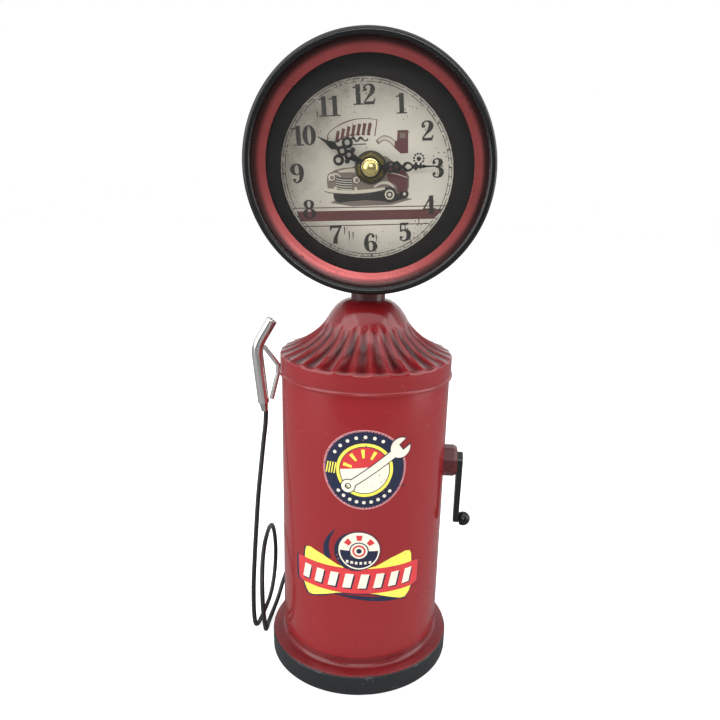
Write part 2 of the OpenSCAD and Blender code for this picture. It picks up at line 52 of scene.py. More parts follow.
eye = bpy.data.cameras.new("studio_camera")
eye.sensor_width = 36
eye.lens = 35.41
eye.shift_x = -0.055
eye.shift_y = 0.0588
camera = bpy.data.objects.new("studio_camera", eye)
scene.collection.objects.link(camera)
camera_tilt, camera_roll = math.radians(71.57), math.radians(2.41)
tilt = Matrix.Rotation(camera_tilt, 4, "X") @ Matrix.Rotation(camera_roll, 4, "Z")
camera.matrix_world = Matrix.Translation((0.0173669, -0.341366, 0.2561265)) @ tilt
scene.camera = camera


def softbox(name, place, aim, size, power):
    lamp = bpy.data.lights.new(name, "AREA")
    lamp.shape = "RECTANGLE"
    lamp.size, lamp.size_y = size
    lamp.energy = power
    holder = bpy.data.objects.new(name, lamp)
    scene.collection.objects.link(holder)
    look = (Vector(aim) - Vector(place)).to_track_quat("-Z", "Y").to_matrix().to_4x4()
    holder.matrix_world = Matrix.Translation(place) @ look


softbox("softbox_left", (-0.75, -0.45, 0.55), (0, 0, 0.15), (0.8, 1.1), 6.5)
softbox("softbox_right", (0.85, -0.1, 0.45), (0, 0, 0.15), (0.6, 1.0), 3.6)
softbox("softbox_front", (0.1, -1.15, 0.7), (0, 0, 0.22), (0.7, 0.24), 4.4)
softbox("softbox_top", (0.05, -0.15, 1.1), (0, 0, 0.2), (1.5, 1.2), 7.5)


def node(tree, kind, inputs=None, **settings):
    made = tree.nodes.new(kind)
    for key, value in settings.items():
        setattr(made, key, value)
    for key, value in (inputs or {}).items():
        if isinstance(value, bpy.types.Node):
            value = value.outputs[0]
        if isinstance(value, bpy.types.NodeSocket):
            tree.links.new(value, made.inputs[key])
        else:
            made.inputs[key].default_value = value
    return made


def maths(tree, operation, *values, **settings):
    return node(tree, "ShaderNodeMath", dict(enumerate(values)), operation=operation, **settings)


def noise(tree, where, scale, detail=2.0, **more):
    return node(tree, "ShaderNodeTexNoise", {"Vector": where, "Scale": scale, "Detail": detail, **more})


def ranged(tree, value, start, end, first, last, kind="LINEAR"):
    """Turns the range start to end into first to last, and holds it there."""
    return node(tree, "ShaderNodeMapRange", {"Value": value, "From Min": start, "From Max": end,
        "To Min": first, "To Max": last}, interpolation_type=kind)


room = bpy.data.worlds.new("white_room")
scene.world = room
room.use_nodes = True
tree = room.node_tree
tree.nodes.clear()
way = node(tree, "ShaderNodeSeparateXYZ", {0: node(tree, "ShaderNodeTexCoord").outputs["Generated"]})
depth = ranged(tree, way.outputs["Y"], -0.75, 0.1, 0.18, 0.95, "SMOOTHSTEP")
above = ranged(tree, way.outputs["Z"], 0.15, 0.85, 1.0, 0.3, "SMOOTHSTEP")
level = maths(tree, "MULTIPLY", depth, above)
reflected = node(tree, "ShaderNodeBackground", {"Color": (0.98, 0.99, 1.0, 1), "Strength": level})
seen = node(tree, "ShaderNodeBackground", {"Color": (1, 1, 1, 1), "Strength": 1.0})
choice = node(tree, "ShaderNodeMixShader", {0: node(tree, "ShaderNodeLightPath").outputs["Is Camera Ray"],
    1: reflected, 2: seen})
node(tree, "ShaderNodeOutputWorld", {"Surface": choice})

table_reach = 3.0
table_edge = -0.62
maker = bmesh.new()
bmesh.ops.create_circle(maker, cap_ends=True, segments=96, radius=table_reach)
for corner in maker.verts:
    corner.co.y = max(corner.co.y, table_edge)
table_mesh = bpy.data.meshes.new("table_top")
maker.to_mesh(table_mesh)
maker.free()
table_top = bpy.data.objects.new("table_top", table_mesh)
scene.collection.objects.link(table_top)
card = bpy.data.materials.new("pale_card")
card.use_nodes = True
tree = card.node_tree
shader = tree.nodes["Principled BSDF"]
fibre = noise(tree, node(tree, "ShaderNodeTexCoord").outputs["Object"], 900.0, 3.0)
pale = ranged(tree, fibre, 0, 1, 0.93, 0.97)
ray_kind = node(tree, "ShaderNodeLightPath")
mirrored = ray_kind.outputs["Is Glossy Ray"]
shade = ranged(tree, mirrored, 0, 1, 1.0, 0.3)
grey = maths(tree, "MULTIPLY", pale, shade)
glow = ranged(tree, mirrored, 0, 1, 0.42, 0.02)
tree.links.new(grey.outputs[0], shader.inputs["Base Color"])
lifted = maths(tree, "MULTIPLY_ADD", ray_kind.outputs["Is Camera Ray"], 0.22, glow)
tree.links.new(lifted.outputs[0], shader.inputs["Emission Strength"])
shader.inputs["Roughness"].default_value = 0.75
shader.inputs["Specular IOR Level"].default_value = 0.2
shader.inputs["Emission Color"].default_value = (1, 1, 1, 1)
table_mesh.materials.append(card)

# Hose. A thin black vinyl hose, moulded stiff in its loop: it plugs into a socket in the back of the
# body, drops to the table, rises in a standing loop beside the body and ends in the nozzle.
mm = 0.001
hose_radius = 1.2
hose_route = [[-32, 32, 33], [-36, 36, 32.5], [-41, 37.5, 29], [-45.5, 35.5, 23], [-48.5, 31, 15.5],
    [-50.5, 25, 8], [-52.5, 17.5, 3], [-53.6, 9, 1.3], [-52.8, 0, 4], [-51.6, -9, 10], [-51, -15, 20],
    [-51.2, -17, 31], [-52, -13.5, 42.5], [-52.8, -7, 51.5], [-53.2, 1, 57], [-53.4, 11, 59],
    [-53.7, 20, 58], [-54.1, 29.5, 53], [-54.4, 37, 43], [-54.6, 40.5, 32], [-54.8, 39.5, 22],
    [-55.2, 35, 13], [-56, 28, 6.5], [-57.5, 20, 2.8], [-58.8, 11, 1.3], [-58.8, 3, 4], [-58.2, -5, 11],
    [-57.4, -11, 24], [-56.6, -13.5, 40], [-55.6, -14, 56], [-54.6, -12.5, 74], [-53.6, -10, 92],
    [-52.6, -6, 107], [-51.8, -2.5, 119], [-51, -0.5, 128], [-50.7, 0, 135]]


def through(points, steps, closed=False):
    """Points of a smooth curve that passes through all the given points."""
    count = len(points)
    spots = [Vector(p) for p in points]
    curve = []
    for i in range(count if closed else count - 1):
        if closed:
            a, b, c, d = (spots[(i + k) % count] for k in (-1, 0, 1, 2))
        else:
            a, b, c, d = (spots[min(max(i + k, 0), count - 1)] for k in (-1, 0, 1, 2))
        for k in range(steps):
            t = k / steps
            curve.append(0.5 * (2 * b + (c - a) * t + (2 * a - 5 * b + 4 * c - d) * t * t
                + (3 * b - a - 3 * c + d) * t ** 3))
    return curve if closed else curve + [spots[-1]]


def blend(tree, factor, one, two):
    """One colour going over into another as the factor goes from 0 to 1."""
    return node(tree, "ShaderNodeMix", {"Factor": factor, "A": one, "B": two},
        data_type="RGBA").outputs["Result"]


def new_group(name, takes, gives):
    """A shader node group; a default of None takes a vector, a number a value, four numbers a colour."""
    made = bpy.data.node_groups.new(name, "ShaderNodeTree")
    for label, default in {"Vector": None, **takes}.items():
        kind = "Vector" if default is None else "Float" if isinstance(default, float) else "Color"
        socket = made.interface.new_socket(name=label, in_out="INPUT", socket_type="NodeSocket" + kind)
        if default is not None:
            socket.default_value = default
    for label in gives:
        kind = "NodeSocketColor" if label == "Colour" else "NodeSocketFloat"
        made.interface.new_socket(name=label, in_out="OUTPUT", socket_type=kind)
    return made, made.nodes.new("NodeGroupInput").outputs, made.nodes.new("NodeGroupOutput").inputs


def grouped(tree, group, where, **inputs):
    return node(tree, "ShaderNodeGroup", {"Vector": where, **inputs}, node_tree=group)


mid_grey = (0.5, 0.5, 0.5, 1)

# Slow light and dark drift of a coat, and the drift of its gloss.
cloud, taken, given = new_group("cloudy_tone", {"Colour": mid_grey, "Scale": 40.0, "Amount": 0.1},
    ("Colour", "Drift"))
drift = noise(cloud, taken["Vector"], taken["Scale"], 4.0, Roughness=0.6)
swing = maths(cloud, "SUBTRACT", drift, 0.5)
gain = maths(cloud, "MULTIPLY", swing, taken["Amount"])
level = maths(cloud, "MULTIPLY_ADD", gain, 4.0, 1.0)
toned = node(cloud, "ShaderNodeHueSaturation", {"Color": taken["Colour"], "Value": level})
cloud.links.new(toned.outputs[0], given["Colour"])
cloud.links.new(drift.outputs[0], given["Drift"])

# Small specks of another colour: dirt, dust or pin holes.
specks, taken, given = new_group("specks", {"Colour": mid_grey, "Speck": (0.1, 0.1, 0.1, 1), "Scale": 300.0,
    "Cover": 0.1}, ("Colour", "Mask"))
cells = node(specks, "ShaderNodeTexVoronoi", {"Vector": taken["Vector"], "Scale": taken["Scale"]})
patch = noise(specks, taken["Vector"], 55.0)
room_left = ranged(specks, patch, 0.42, 0.7, 0.0, taken["Cover"])
spot = maths(specks, "LESS_THAN", cells.outputs["Distance"], room_left)
sprinkled = blend(specks, spot, taken["Colour"], taken["Speck"])
specks.links.new(sprinkled, given["Colour"])
specks.links.new(spot.outputs[0], given["Mask"])

# Short fine hairline scratches, as a mask.
hairlines, taken, given = new_group("hairlines", {"Scale": 60.0, "Width": 0.01}, ("Mask",))
field = noise(hairlines, taken["Vector"], taken["Scale"], 1.0, Distortion=1.5)
off = maths(hairlines, "SUBTRACT", field, 0.5)
near = maths(hairlines, "ABSOLUTE", off)
line = maths(hairlines, "LESS_THAN", near, taken["Width"])
breaks = noise(hairlines, taken["Vector"], 120.0, 1.0)
kept = maths(hairlines, "GREATER_THAN", breaks, 0.62)
stroke = maths(hairlines, "MULTIPLY", line, kept)
hairlines.links.new(stroke.outputs[0], given["Mask"])

# Wear of a coat on the rounded edges that the mesh marks in its "rim" value.
edge_wear, taken, given = new_group("edge_wear", {"Colour": mid_grey, "Bare": (0.1, 0.1, 0.1, 1),
    "Amount": 0.3}, ("Colour", "Mask"))
rim = node(edge_wear, "ShaderNodeAttribute", attribute_name="rim")
rub = noise(edge_wear, taken["Vector"], 160.0, 4.0)
sum_up = maths(edge_wear, "ADD", rub, taken["Amount"])
over = ranged(edge_wear, sum_up, 0.9, 1.0, 0, 1)
rubbed = maths(edge_wear, "MULTIPLY", over, rim.outputs["Fac"])
bared = blend(edge_wear, rubbed, taken["Colour"], taken["Bare"])
edge_wear.links.new(bared, given["Colour"])
edge_wear.links.new(rubbed.outputs[0], given["Mask"])


def tint(red, green, blue):
    """A colour given 0 to 255 a channel, as the shader wants it."""
    return tuple((c / 255 / 12.92 if c < 10.3 else ((c / 255 + 0.055) / 1.055) ** 2.4)
        for c in (red, green, blue)) + (1.0,)


def finish(name, colour, rough, metal=0.0, coat=0.0, cloudy=(45.0, 0.06), speck=None, lines=0.006,
        grain=(1500.0, 0.1), bare=None, swing=0.1):
    """A surface: base colour with drift, specks, hairlines, worn edges, and a fine bumpy grain.

    Colours are 0 to 255 a channel; cloudy is (scale, amount), speck (colour, scale, cover), grain
    (scale, strength) and bare, the colour under worn edges, (colour, amount)."""
    made = bpy.data.materials.new(name)
    made.use_nodes = True
    tree = made.node_tree
    shader = tree.nodes["Principled BSDF"]
    where = node(tree, "ShaderNodeTexCoord").outputs["Object"]
    tone = grouped(tree, cloud, where, Colour=tint(*colour), Scale=cloudy[0], Amount=cloudy[1])
    shade = tone.outputs["Colour"]
    if speck:
        speckled, scale, cover = speck
        dots = grouped(tree, specks, where, Colour=shade, Speck=tint(*speckled), Scale=scale, Cover=cover)
        shade = dots.outputs["Colour"]
    if bare:
        under, amount = bare
        worn = grouped(tree, edge_wear, where, Colour=shade, Bare=tint(*under), Amount=amount)
        shade = worn.outputs["Colour"]
    tree.links.new(shade, shader.inputs["Base Color"])
    scored = grouped(tree, hairlines, where, Width=lines)
    gloss = ranged(tree, tone.outputs["Drift"], 0.3, 0.7, max(rough - swing / 2, 0.02), rough + swing / 2)
    dulled = maths(tree, "MULTIPLY_ADD", scored.outputs["Mask"], 0.15, gloss)
    tree.links.new(dulled.outputs[0], shader.inputs["Roughness"])
    skin = noise(tree, where, grain[0])
    height = maths(tree, "MULTIPLY_ADD", scored.outputs["Mask"], -0.3, skin)
    bump = node(tree, "ShaderNodeBump", {"Height": height, "Strength": grain[1], "Distance": 0.0002})
    tree.links.new(bump.outputs[0], shader.inputs["Normal"])
    shader.inputs["Metallic"].default_value = metal
    shader.inputs["Coat Weight"].default_value = coat
    shader.inputs["Coat Roughness"].default_value = 0.05
    return made


hose_black = finish("hose_black", (30, 31, 32), 0.38, speck=((120, 118, 112), 500.0, 0.12),
    grain=(2600.0, 0.25))
run = bpy.data.curves.new("hose_run", "CURVE")
run.dimensions = "3D"
run.bevel_depth = hose_radius * mm
run.bevel_resolution = 5
run.use_fill_caps = True
track = through(hose_route, 5)
thread = run.splines.new("POLY")
thread.points.add(len(track) - 1)
for spot, place in zip(thread.points, track):
    spot.co = (*(place * mm), 1)
run.materials.append(hose_black)


def settle(made, body, cad_piece=None):
    """Puts a piece on its body, in place of the CAD piece it stands for."""
    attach(made, body)
    if cad_piece:
        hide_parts(cad_piece)


hose_run = bpy.data.objects.new("hose_run", run)
scene.collection.objects.link(hose_run)
settle(hose_run, "clock_frame", "hose")

# Hose socket and ferrule. A turned black plastic bush pushed into the back of the body, and a drawn
# steel ferrule that holds the hose on the nozzle. Both are plain turned parts.
socket_black = finish("socket_black", (26, 27, 29), 0.42, grain=(2000.0, 0.2))


def dress(node_name, material):
    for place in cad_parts[node_name].material_slots:
        place.material = material


dress("hose_socket", socket_black)
nickel = finish("nickel_plate", (196, 194, 190), 0.2, metal=1.0, cloudy=(90.0, 0.05), lines=0.02,
    speck=((88, 82, 76), 260.0, 0.12), grain=(1800.0, 0.05))
dress("nozzle_ferrule", nickel)

# Base. A heavy turned disc, sprayed satin black, with a soft grey pad glued in its underside and
# three steel screws that hold the body on from below.
base_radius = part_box("base_disc")[1][0] / mm
base_low, base_top = (corner[2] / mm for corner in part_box("base_disc"))
pad_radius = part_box("base_pad")[1][0] / mm
pad_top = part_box("base_pad")[1][2] / mm


def soften(outline, radius, steps=3):
    """A closed outline with its corners rounded; the third value marks the outward corners."""
    corners = [Vector(p) for p in outline]
    rounded = []
    for i, here in enumerate(corners):
        back, ahead = corners[i - 1] - here, corners[(i + 1) % len(corners)] - here
        cut = min(radius, back.length * 0.45, ahead.length * 0.45)
        if here.x < 1e-6 or back.angle(ahead) > math.radians(155) or cut < 1e-4:
            rounded.append((here.x, here.y, 0.0))
            continue
        outward = 1.0 if (-back).x * ahead.y - (-back).y * ahead.x > 0 else 0.0
        start, end = here + back.normalized() * cut, here + ahead.normalized() * cut
        for k in range(steps + 1):
            t = k / steps
            p = start * (1 - t) ** 2 + here * 2 * t * (1 - t) + end * t * t
            rounded.append((p.x, p.y, outward if 0 < k < steps else 0.0))
    return rounded


def as_mesh(maker, name, place, sharp=40):
    """Ends a piece: to its place, from millimetres to metres, smooth with crisp edges."""
    bmesh.ops.transform(maker, matrix=Matrix.Scale(mm, 4) @ place, verts=maker.verts)
    bmesh.ops.remove_doubles(maker, verts=maker.verts, dist=1e-7)
    bmesh.ops.recalc_face_normals(maker, faces=maker.faces)
    mesh = bpy.data.meshes.new(name)
    maker.to_mesh(mesh)
    maker.free()
    mesh.shade_smooth()
    mesh.set_sharp_from_angle(angle=math.radians(sharp))
    return mesh


def skin(maker, rings):
    """Faces between neighbouring rings of corners; a ring may be a single point."""
    for one, two in zip(rings, rings[1:]):
        turns = max(len(one), len(two))
        for k in range(turns if turns > 1 else 0):
            n = (k + 1) % turns
            corners = [one[k % len(one)], one[n % len(one)], two[n % len(two)], two[k % len(two)]]
            maker.faces.new(list(dict.fromkeys(corners)))


def lathe(name, outline, place=Matrix(), turns=180, sharp=40):
    """A turned piece: a closed outline of (radius, height) going round the local Z axis."""
    maker = bmesh.new()
    layer = maker.verts.layers.float.new("rim")
    rings = []
    for point in outline:
        ring = []
        for k in range(turns if point[0] > 1e-6 else 1):
            a = math.tau * k / turns
            vert = maker.verts.new((point[0] * math.cos(a), point[0] * math.sin(a), point[1]))
            vert[layer] = point[2] if len(point) > 2 else 0.0
            ring.append(vert)
        rings.append(ring)
    skin(maker, rings + rings[:1])
    return as_mesh(maker, name, place, sharp)


def shown(name, mesh, material):
    made = bpy.data.objects.new(name, mesh)
    mesh.materials.append(material)
    scene.collection.objects.link(made)
    return made


base_black = finish("base_black", (26, 29, 33), 0.4, cloudy=(30.0, 0.1), grain=(1300.0, 0.35),
    speck=((96, 94, 92), 420.0, 0.14), bare=((92, 92, 94), 0.34))
base_outline = [(0, pad_top), (pad_radius + 0.2, pad_top), (pad_radius + 0.2, base_low),
    (base_radius - 0.8, base_low), (base_radius, base_low + 0.8), (base_radius, base_top - 0.5),
    (base_radius - 0.5, base_top), (0, base_top)]
base_turning = shown("base_turning", lathe("base_turning", soften(base_outline, 0.5)), base_black)
settle(base_turning, "clock_frame", "base_disc")

pad_grey = finish("pad_grey", (92, 92, 90), 0.95, cloudy=(200.0, 0.12), grain=(3200.0, 0.9))
dress("base_pad", pad_grey)
steel = finish("screw_steel", (150, 150, 152), 0.3, metal=1.0, lines=0.02, speck=((80, 70, 60), 300.0, 0.1))
dress("base_screws", steel)

# Flange. A pressed steel ring under the body, enamelled in the body's red: a sloping ledge over the
# base disc, a tight cove, and a wall that the body tube slips over.
wall_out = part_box("base_flange")[1][2] / mm
ledge_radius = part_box("base_flange")[1][0] / mm
body_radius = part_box("body_tube")[1][0] / mm
cove_wall = body_radius - 0.8
cove = 2.4
sheet = 0.6
ledge_low = base_top
ledge_high = ledge_low + 1.4
cove_arc = [(cove_wall + cove - cove * math.sin(math.radians(a)),
    ledge_high + cove - cove * math.cos(math.radians(a))) for a in (15, 30, 45, 60, 75, 90)]
flange_outline = soften([(30, ledge_low), (ledge_radius, ledge_low), (ledge_radius, ledge_low + 0.7),
    (cove_wall + cove, ledge_high)] + cove_arc + [(cove_wall, wall_out), (cove_wall - sheet, wall_out),
    (cove_wall - sheet, ledge_low + 1.2), (30, ledge_low + 1.2)], 0.3)
flange_red = finish("flange_red", (116, 25, 30), 0.28, coat=0.2, cloudy=(60.0, 0.1),
    speck=((40, 20, 20), 300.0, 0.14), grain=(900.0, 0.16), bare=((58, 30, 28), 0.36))
flange_ring = shown("flange_ring", lathe("flange_ring", flange_outline), flange_red)
settle(flange_ring, "clock_frame", "base_flange")

# Body. A rolled tube of thin sheet, closed by a folded seam at the back and enamelled glossy brick
# red. The enamel has an orange-peel skin, faint dust and five small chips down to dark primer.
body_low, body_top = (corner[2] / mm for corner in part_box("body_tube"))
body_wall = 0.7
cap_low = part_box("dome_cap")[0][2] / mm
chips = [((20.6, -36.25, 113.4), 0.62), ((40.4, -11.2, 170.2), 0.75), ((-15.5, 7.2, 190.0), 0.7),
    ((-33.5, -24.8, 168.4), 0.5), ((9.0, -40.7, 61.0), 0.28)]

chip_mask, taken, given = new_group("paint_chip", {"Colour": mid_grey, "Under": (0.02, 0.02, 0.02, 1),
    "Centre": None, "Size": 0.0006}, ("Colour", "Mask"))
wobble = noise(chip_mask, taken["Vector"], 1400.0)
reach = node(chip_mask, "ShaderNodeVectorMath", {0: taken["Vector"], 1: taken["Centre"]},
    operation="DISTANCE")
limit = maths(chip_mask, "MULTIPLY", wobble, taken["Size"])
limit = maths(chip_mask, "MULTIPLY", limit, 2.0)
inside = maths(chip_mask, "LESS_THAN", reach.outputs["Value"], limit)
chipped = blend(chip_mask, inside, taken["Colour"], taken["Under"])
chip_mask.links.new(chipped, given["Colour"])
chip_mask.links.new(inside.outputs[0], given["Mask"])


def opened(material):
    """The node tree of a finish, the input of its colour, and the place on the piece."""
    tree = material.node_tree
    where = next(n for n in tree.nodes if n.type == "TEX_COORD").outputs["Object"]
    return tree, tree.nodes["Principled BSDF"].inputs["Base Color"], where


def chip_away(material):
    """Adds the chips to an enamel, last over its other colours."""
    tree, base, where = opened(material)
    shade = base.links[0].from_socket
    for centre, size in chips:
        chip = grouped(tree, chip_mask, where, Colour=shade, Centre=Vector(centre) * mm, Size=size * mm)
        shade = chip.outputs["Colour"]
    tree.links.new(shade, base)


body_red = finish("body_red", (138, 28, 32), 0.2, coat=0.25, cloudy=(22.0, 0.05), lines=0.003,
    speck=((80, 24, 26), 620.0, 0.05), grain=(420.0, 0.05), bare=((60, 30, 28), 0.3))
chip_away(body_red)
body_outline = soften([(body_radius - body_wall, body_low), (body_radius, body_low),
    (body_radius, body_top), (body_radius - body_wall, body_top)], 0.3)
body_sleeve = shown("body_sleeve", lathe("body_sleeve", body_outline, turns=256), body_red)
axle_low, axle_high = (corner[2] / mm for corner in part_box("crank_axle"))
axle_radius, crank_z = (axle_high - axle_low) / 2, (axle_high + axle_low) / 2
CRANK = Matrix.Translation((0, 0, crank_z)) @ Matrix.Rotation(math.radians(90), 4, "Y")
socket_turn = math.atan2(hose_route[0][1], hose_route[0][0])
SOCKET = (Matrix.Rotation(socket_turn, 4, "Z") @ Matrix.Translation((0, 0, hose_route[0][2]))
    @ Matrix.Rotation(math.radians(90), 4, "Y"))


def bore(made, place, radius, low, high):
    """Drills a round hole of that radius along the place's own Z, from low to high."""
    shank = [(0, low), (radius, low), (radius, high), (0, high)]
    drill = bpy.data.objects.new("drill", lathe("drill", shank, place, 64))
    scene.collection.objects.link(drill)
    cut = made.modifiers.new("bore", "BOOLEAN")
    cut.operation = "DIFFERENCE"
    cut.solver = "EXACT"
    cut.object = drill
    bored = bpy.data.meshes.new_from_object(made.evaluated_get(bpy.context.evaluated_depsgraph_get()))
    made.modifiers.remove(cut)
    made.data = bored
    bpy.data.objects.remove(drill)


bore_from, bore_to = body_radius - 3, body_radius + 3
for place, hole in ((CRANK, axle_radius + 0.3), (SOCKET, hose_radius + 1.0)):
    bore(body_sleeve, place, hole, bore_from, bore_to)
settle(body_sleeve, "clock_frame", "body_tube")

# Transfers. Two thin water-slide decals wrapped round the front of the body: a round badge above and
# a broad ribbon with wings and a small disc below. Their artwork is plain shapes, laid in flat colours.
badge_spot = (2.6, 122.4)
badge_radius, stud_circle, field_radius, disc_radius = 20.0, 16.4, 13.4, 11.5
ribbon_low, ribbon_high = 56.6, 70.4
film_step = 0.035


def fill_in(solids, holes=(), spacing=None):
    """Corner points and triangles that fill the solid outlines, less the holes."""
    spots, outlines = [], []
    for outline in list(solids) + list(holes):
        area = sum(a[0] * b[1] - b[0] * a[1] for a, b in zip(outline, list(outline[1:]) + [outline[0]]))
        ordered = outline if area > 0 else outline[::-1]
        outlines.append(list(range(len(spots), len(spots) + len(ordered))))
        spots += [Vector(p[:2]) for p in ordered]
    if spacing:
        low_x, high_x = min(p.x for p in spots), max(p.x for p in spots)
        low_y, high_y = min(p.y for p in spots), max(p.y for p in spots)
        for i in range(int((high_x - low_x) / spacing) + 1):
            for k in range(int((high_y - low_y) / spacing / 3) + 1):
                spots.append(Vector((low_x + (i + 0.37) * spacing, low_y + (k + 0.41) * spacing * 3)))
    points, _, triangles, _, _, sources = delaunay_2d_cdt(spots, [], outlines, 0, 1e-4, True)
    kept = [t for t, source in zip(triangles, sources)
            if source and not any(s >= len(solids) for s in source)]
    return points, kept


def plate(name, solids, holes, low, high, place=Matrix(), spacing=None, bend=None, sharp=40):
    """A flat piece from outlines, from the low to the high level, which bend may then wrap."""
    points, triangles = fill_in(solids, holes, spacing)
    maker = bmesh.new()
    corners = [maker.verts.new((p[0], p[1], high)) for p in points]
    faces = [maker.faces.new([corners[i] for i in t]) for t in triangles]
    loose = [v for v in maker.verts if not v.link_faces]
    bmesh.ops.delete(maker, geom=loose, context="VERTS")
    pulled = bmesh.ops.extrude_face_region(maker, geom=faces)["geom"]
    for part in pulled:
        if isinstance(part, bmesh.types.BMVert):
            part.co.z = low
    if bend:
        for vert in maker.verts:
            vert.co = bend(vert.co)
    return as_mesh(maker, name, place, sharp)


def circle(x, y, radius, count=72):
    return [(x + radius * math.cos(math.tau * k / count), y + radius * math.sin(math.tau * k / count))
            for k in range(count)]


def on_circle(x, y, radius, degrees):
    turn = math.radians(degrees)
    return x + radius * math.cos(turn), y + radius * math.sin(turn)


def box_of(x0, y0, x1, y1):
    return [(x0, y0), (x1, y0), (x1, y1), (x0, y1)]


def brush(points, closed=False, steps=6, fatten=1.0):
    """A pen stroke through points of (x, y, half width), as a chain of small four-sided outlines."""
    line = through(points, steps, closed)
    count = len(line)
    sides = []
    for i, p in enumerate(line):
        ahead = line[(i + 1) % count] if closed else line[min(i + 1, count - 1)]
        back = line[i - 1] if closed else line[max(i - 1, 0)]
        way = Vector((ahead.x - back.x, ahead.y - back.y)).normalized()
        half = p.z * fatten
        sides.append(((p.x - way.y * half, p.y + way.x * half), (p.x + way.y * half, p.y - way.x * half)))
    pairs = zip(sides, sides[1:] + sides[:1]) if closed else zip(sides, sides[1:])
    return [[one[0], one[1], two[1], two[0]] for one, two in pairs]


def round_body(p):
    """Wraps a flat decal: x goes round the body from the front, y up, z out from its skin."""
    a = p.x / body_radius
    return Vector(((body_radius + p.z) * math.sin(a), -(body_radius + p.z) * math.cos(a), p.y))


film_inks = {
    "navy": (16, 27, 60), "red": (206, 44, 50), "yellow": (246, 232, 84),
    "cream": (236, 228, 210), "pale_rose": (196, 128, 132)}
film_finish = {key: finish("transfer_" + key, colour, 0.3, coat=0.5, cloudy=(70.0, 0.1), lines=0.012,
    speck=((150, 110, 104), 420.0, 0.2), grain=(420.0, 0.05)) for key, colour in film_inks.items()}


def fine(outline, step=1.2):
    """The same outline with no side longer than the step, so that it bends well."""
    cut = []
    for here, ahead in zip(outline, list(outline[1:]) + [outline[0]]):
        parts = max(1, math.ceil(math.hypot(ahead[0] - here[0], ahead[1] - here[1]) / step))
        cut += [(here[0] + (ahead[0] - here[0]) * k / parts, here[1] + (ahead[1] - here[1]) * k / parts)
                for k in range(parts)]
    return cut


def decal(name, ink, layer, solids, holes=()):
    solids, holes = [fine(s) for s in solids], [fine(h) for h in holes]
    low = 0.012 + (layer - 1) * film_step * 0.5
    mesh = plate(name, solids, holes, low, film_step * layer, spacing=1.6, bend=round_body)
    made = shown(name, mesh, film_finish[ink])
    settle(made, "clock_frame")


cx, cz = badge_spot
for name, ink, layer, outer, inner in (
        ("badge_edge", "pale_rose", 1, badge_radius, badge_radius - 1.0),
        ("badge_ring", "navy", 1, badge_radius - 0.5, field_radius),
        ("badge_field", "yellow", 1, field_radius, 0),
        ("badge_disc_line", "navy", 2, disc_radius + 0.4, disc_radius),
        ("badge_disc", "cream", 2, disc_radius, 0)):
    decal(name, ink, layer, [circle(cx, cz, outer)], [circle(cx, cz, inner)] if inner else ())
half_sun = [on_circle(cx, cz, disc_radius, 14 + 166 * k / 24) for k in range(25)]
decal("badge_sun", "red", 3, [half_sun])
rays = []
for k in range(5):
    rays += brush([(*on_circle(cx, cz, r, 28 + 34 * k), wide) for r, wide in ((6.2, 0.5), (10.4, 0.85))],
        steps=2)
decal("badge_rays", "yellow", 4, rays)


def spanner(grow):
    """An open-ended spanner, its jaw up and to the right, widened all round by grow."""
    ends = [(cx - 7.6, cz - 8.2), (cx + 15.6, cz + 9.4)]
    way = (Vector(ends[1]) - Vector(ends[0])).normalized()
    cross = Vector((-way.y, way.x))
    shank = brush([(*ends[0], 1.5 + grow), (*ends[1], 1.9 + grow)], steps=2)
    jaw_centre = Vector(ends[1]) + way * 1.6
    jaw = circle(*jaw_centre, 5.0 + grow, 36)
    foot = circle(*ends[0], 3.2 + grow, 30)
    mouth = [tuple(jaw_centre + way * u + cross * v) for u, v in ((0.2 + grow, -1.9 + grow),
        (7.5, -2.3 + grow), (7.5, 2.3 - grow), (0.2 + grow, 1.9 - grow))]
    return shank + [jaw, foot], [mouth, circle(*ends[0], 1.5 - grow, 24)]


decal("badge_spanner_line", "navy", 4, *spanner(0.45))
decal("badge_spanner", "cream", 5, *spanner(0.0))
bars = []
for k in range(4):
    bars += brush([(cx - 18.4 + 1.3 * k, cz - 2.6, 0.3), (cx - 17.5 + 1.3 * k, cz + 3.0, 0.3)], steps=1)
decal("badge_bars", "yellow", 2, bars)
stud_angles = [60 + 15 * k for k in range(7)] + [222 + 12 * k for k in range(9)]
decal("badge_studs", "cream", 2, [circle(*on_circle(cx, cz, stud_circle, a), 0.85, 16)
    for a in stud_angles])

left_end, right_end = -33.4, 33.2
wing_shapes = []
upper_wing = ((3.0, 70.0), (9.5, 71.8), (17.0, 75.4), (24.6, 77.5), (27.2, 77.0), (28.2, 75.0),
    (28.6, 70.0))
lower_wing = ((3.0, 57.2), (9.5, 56.0), (17.5, 53.2), (23.2, 51.2), (25.6, 51.2), (27.6, 53.4),
    (29.2, 57.0))
for side in (-1, 1):
    wing_shapes += [[(side * x, z) for x, z in wing] for wing in (upper_wing, lower_wing)]


def swollen(outline, grow, shift=(0, 0)):
    """An outline grown by a margin about its middle, and moved."""
    middle = Vector((sum(p[0] for p in outline) / len(outline), sum(p[1] for p in outline) / len(outline)))
    grown = []
    for p in outline:
        way = Vector(p) - middle
        grown.append(tuple(middle + way * (1 + grow / max(way.length, 0.1)) + Vector(shift)))
    return grown


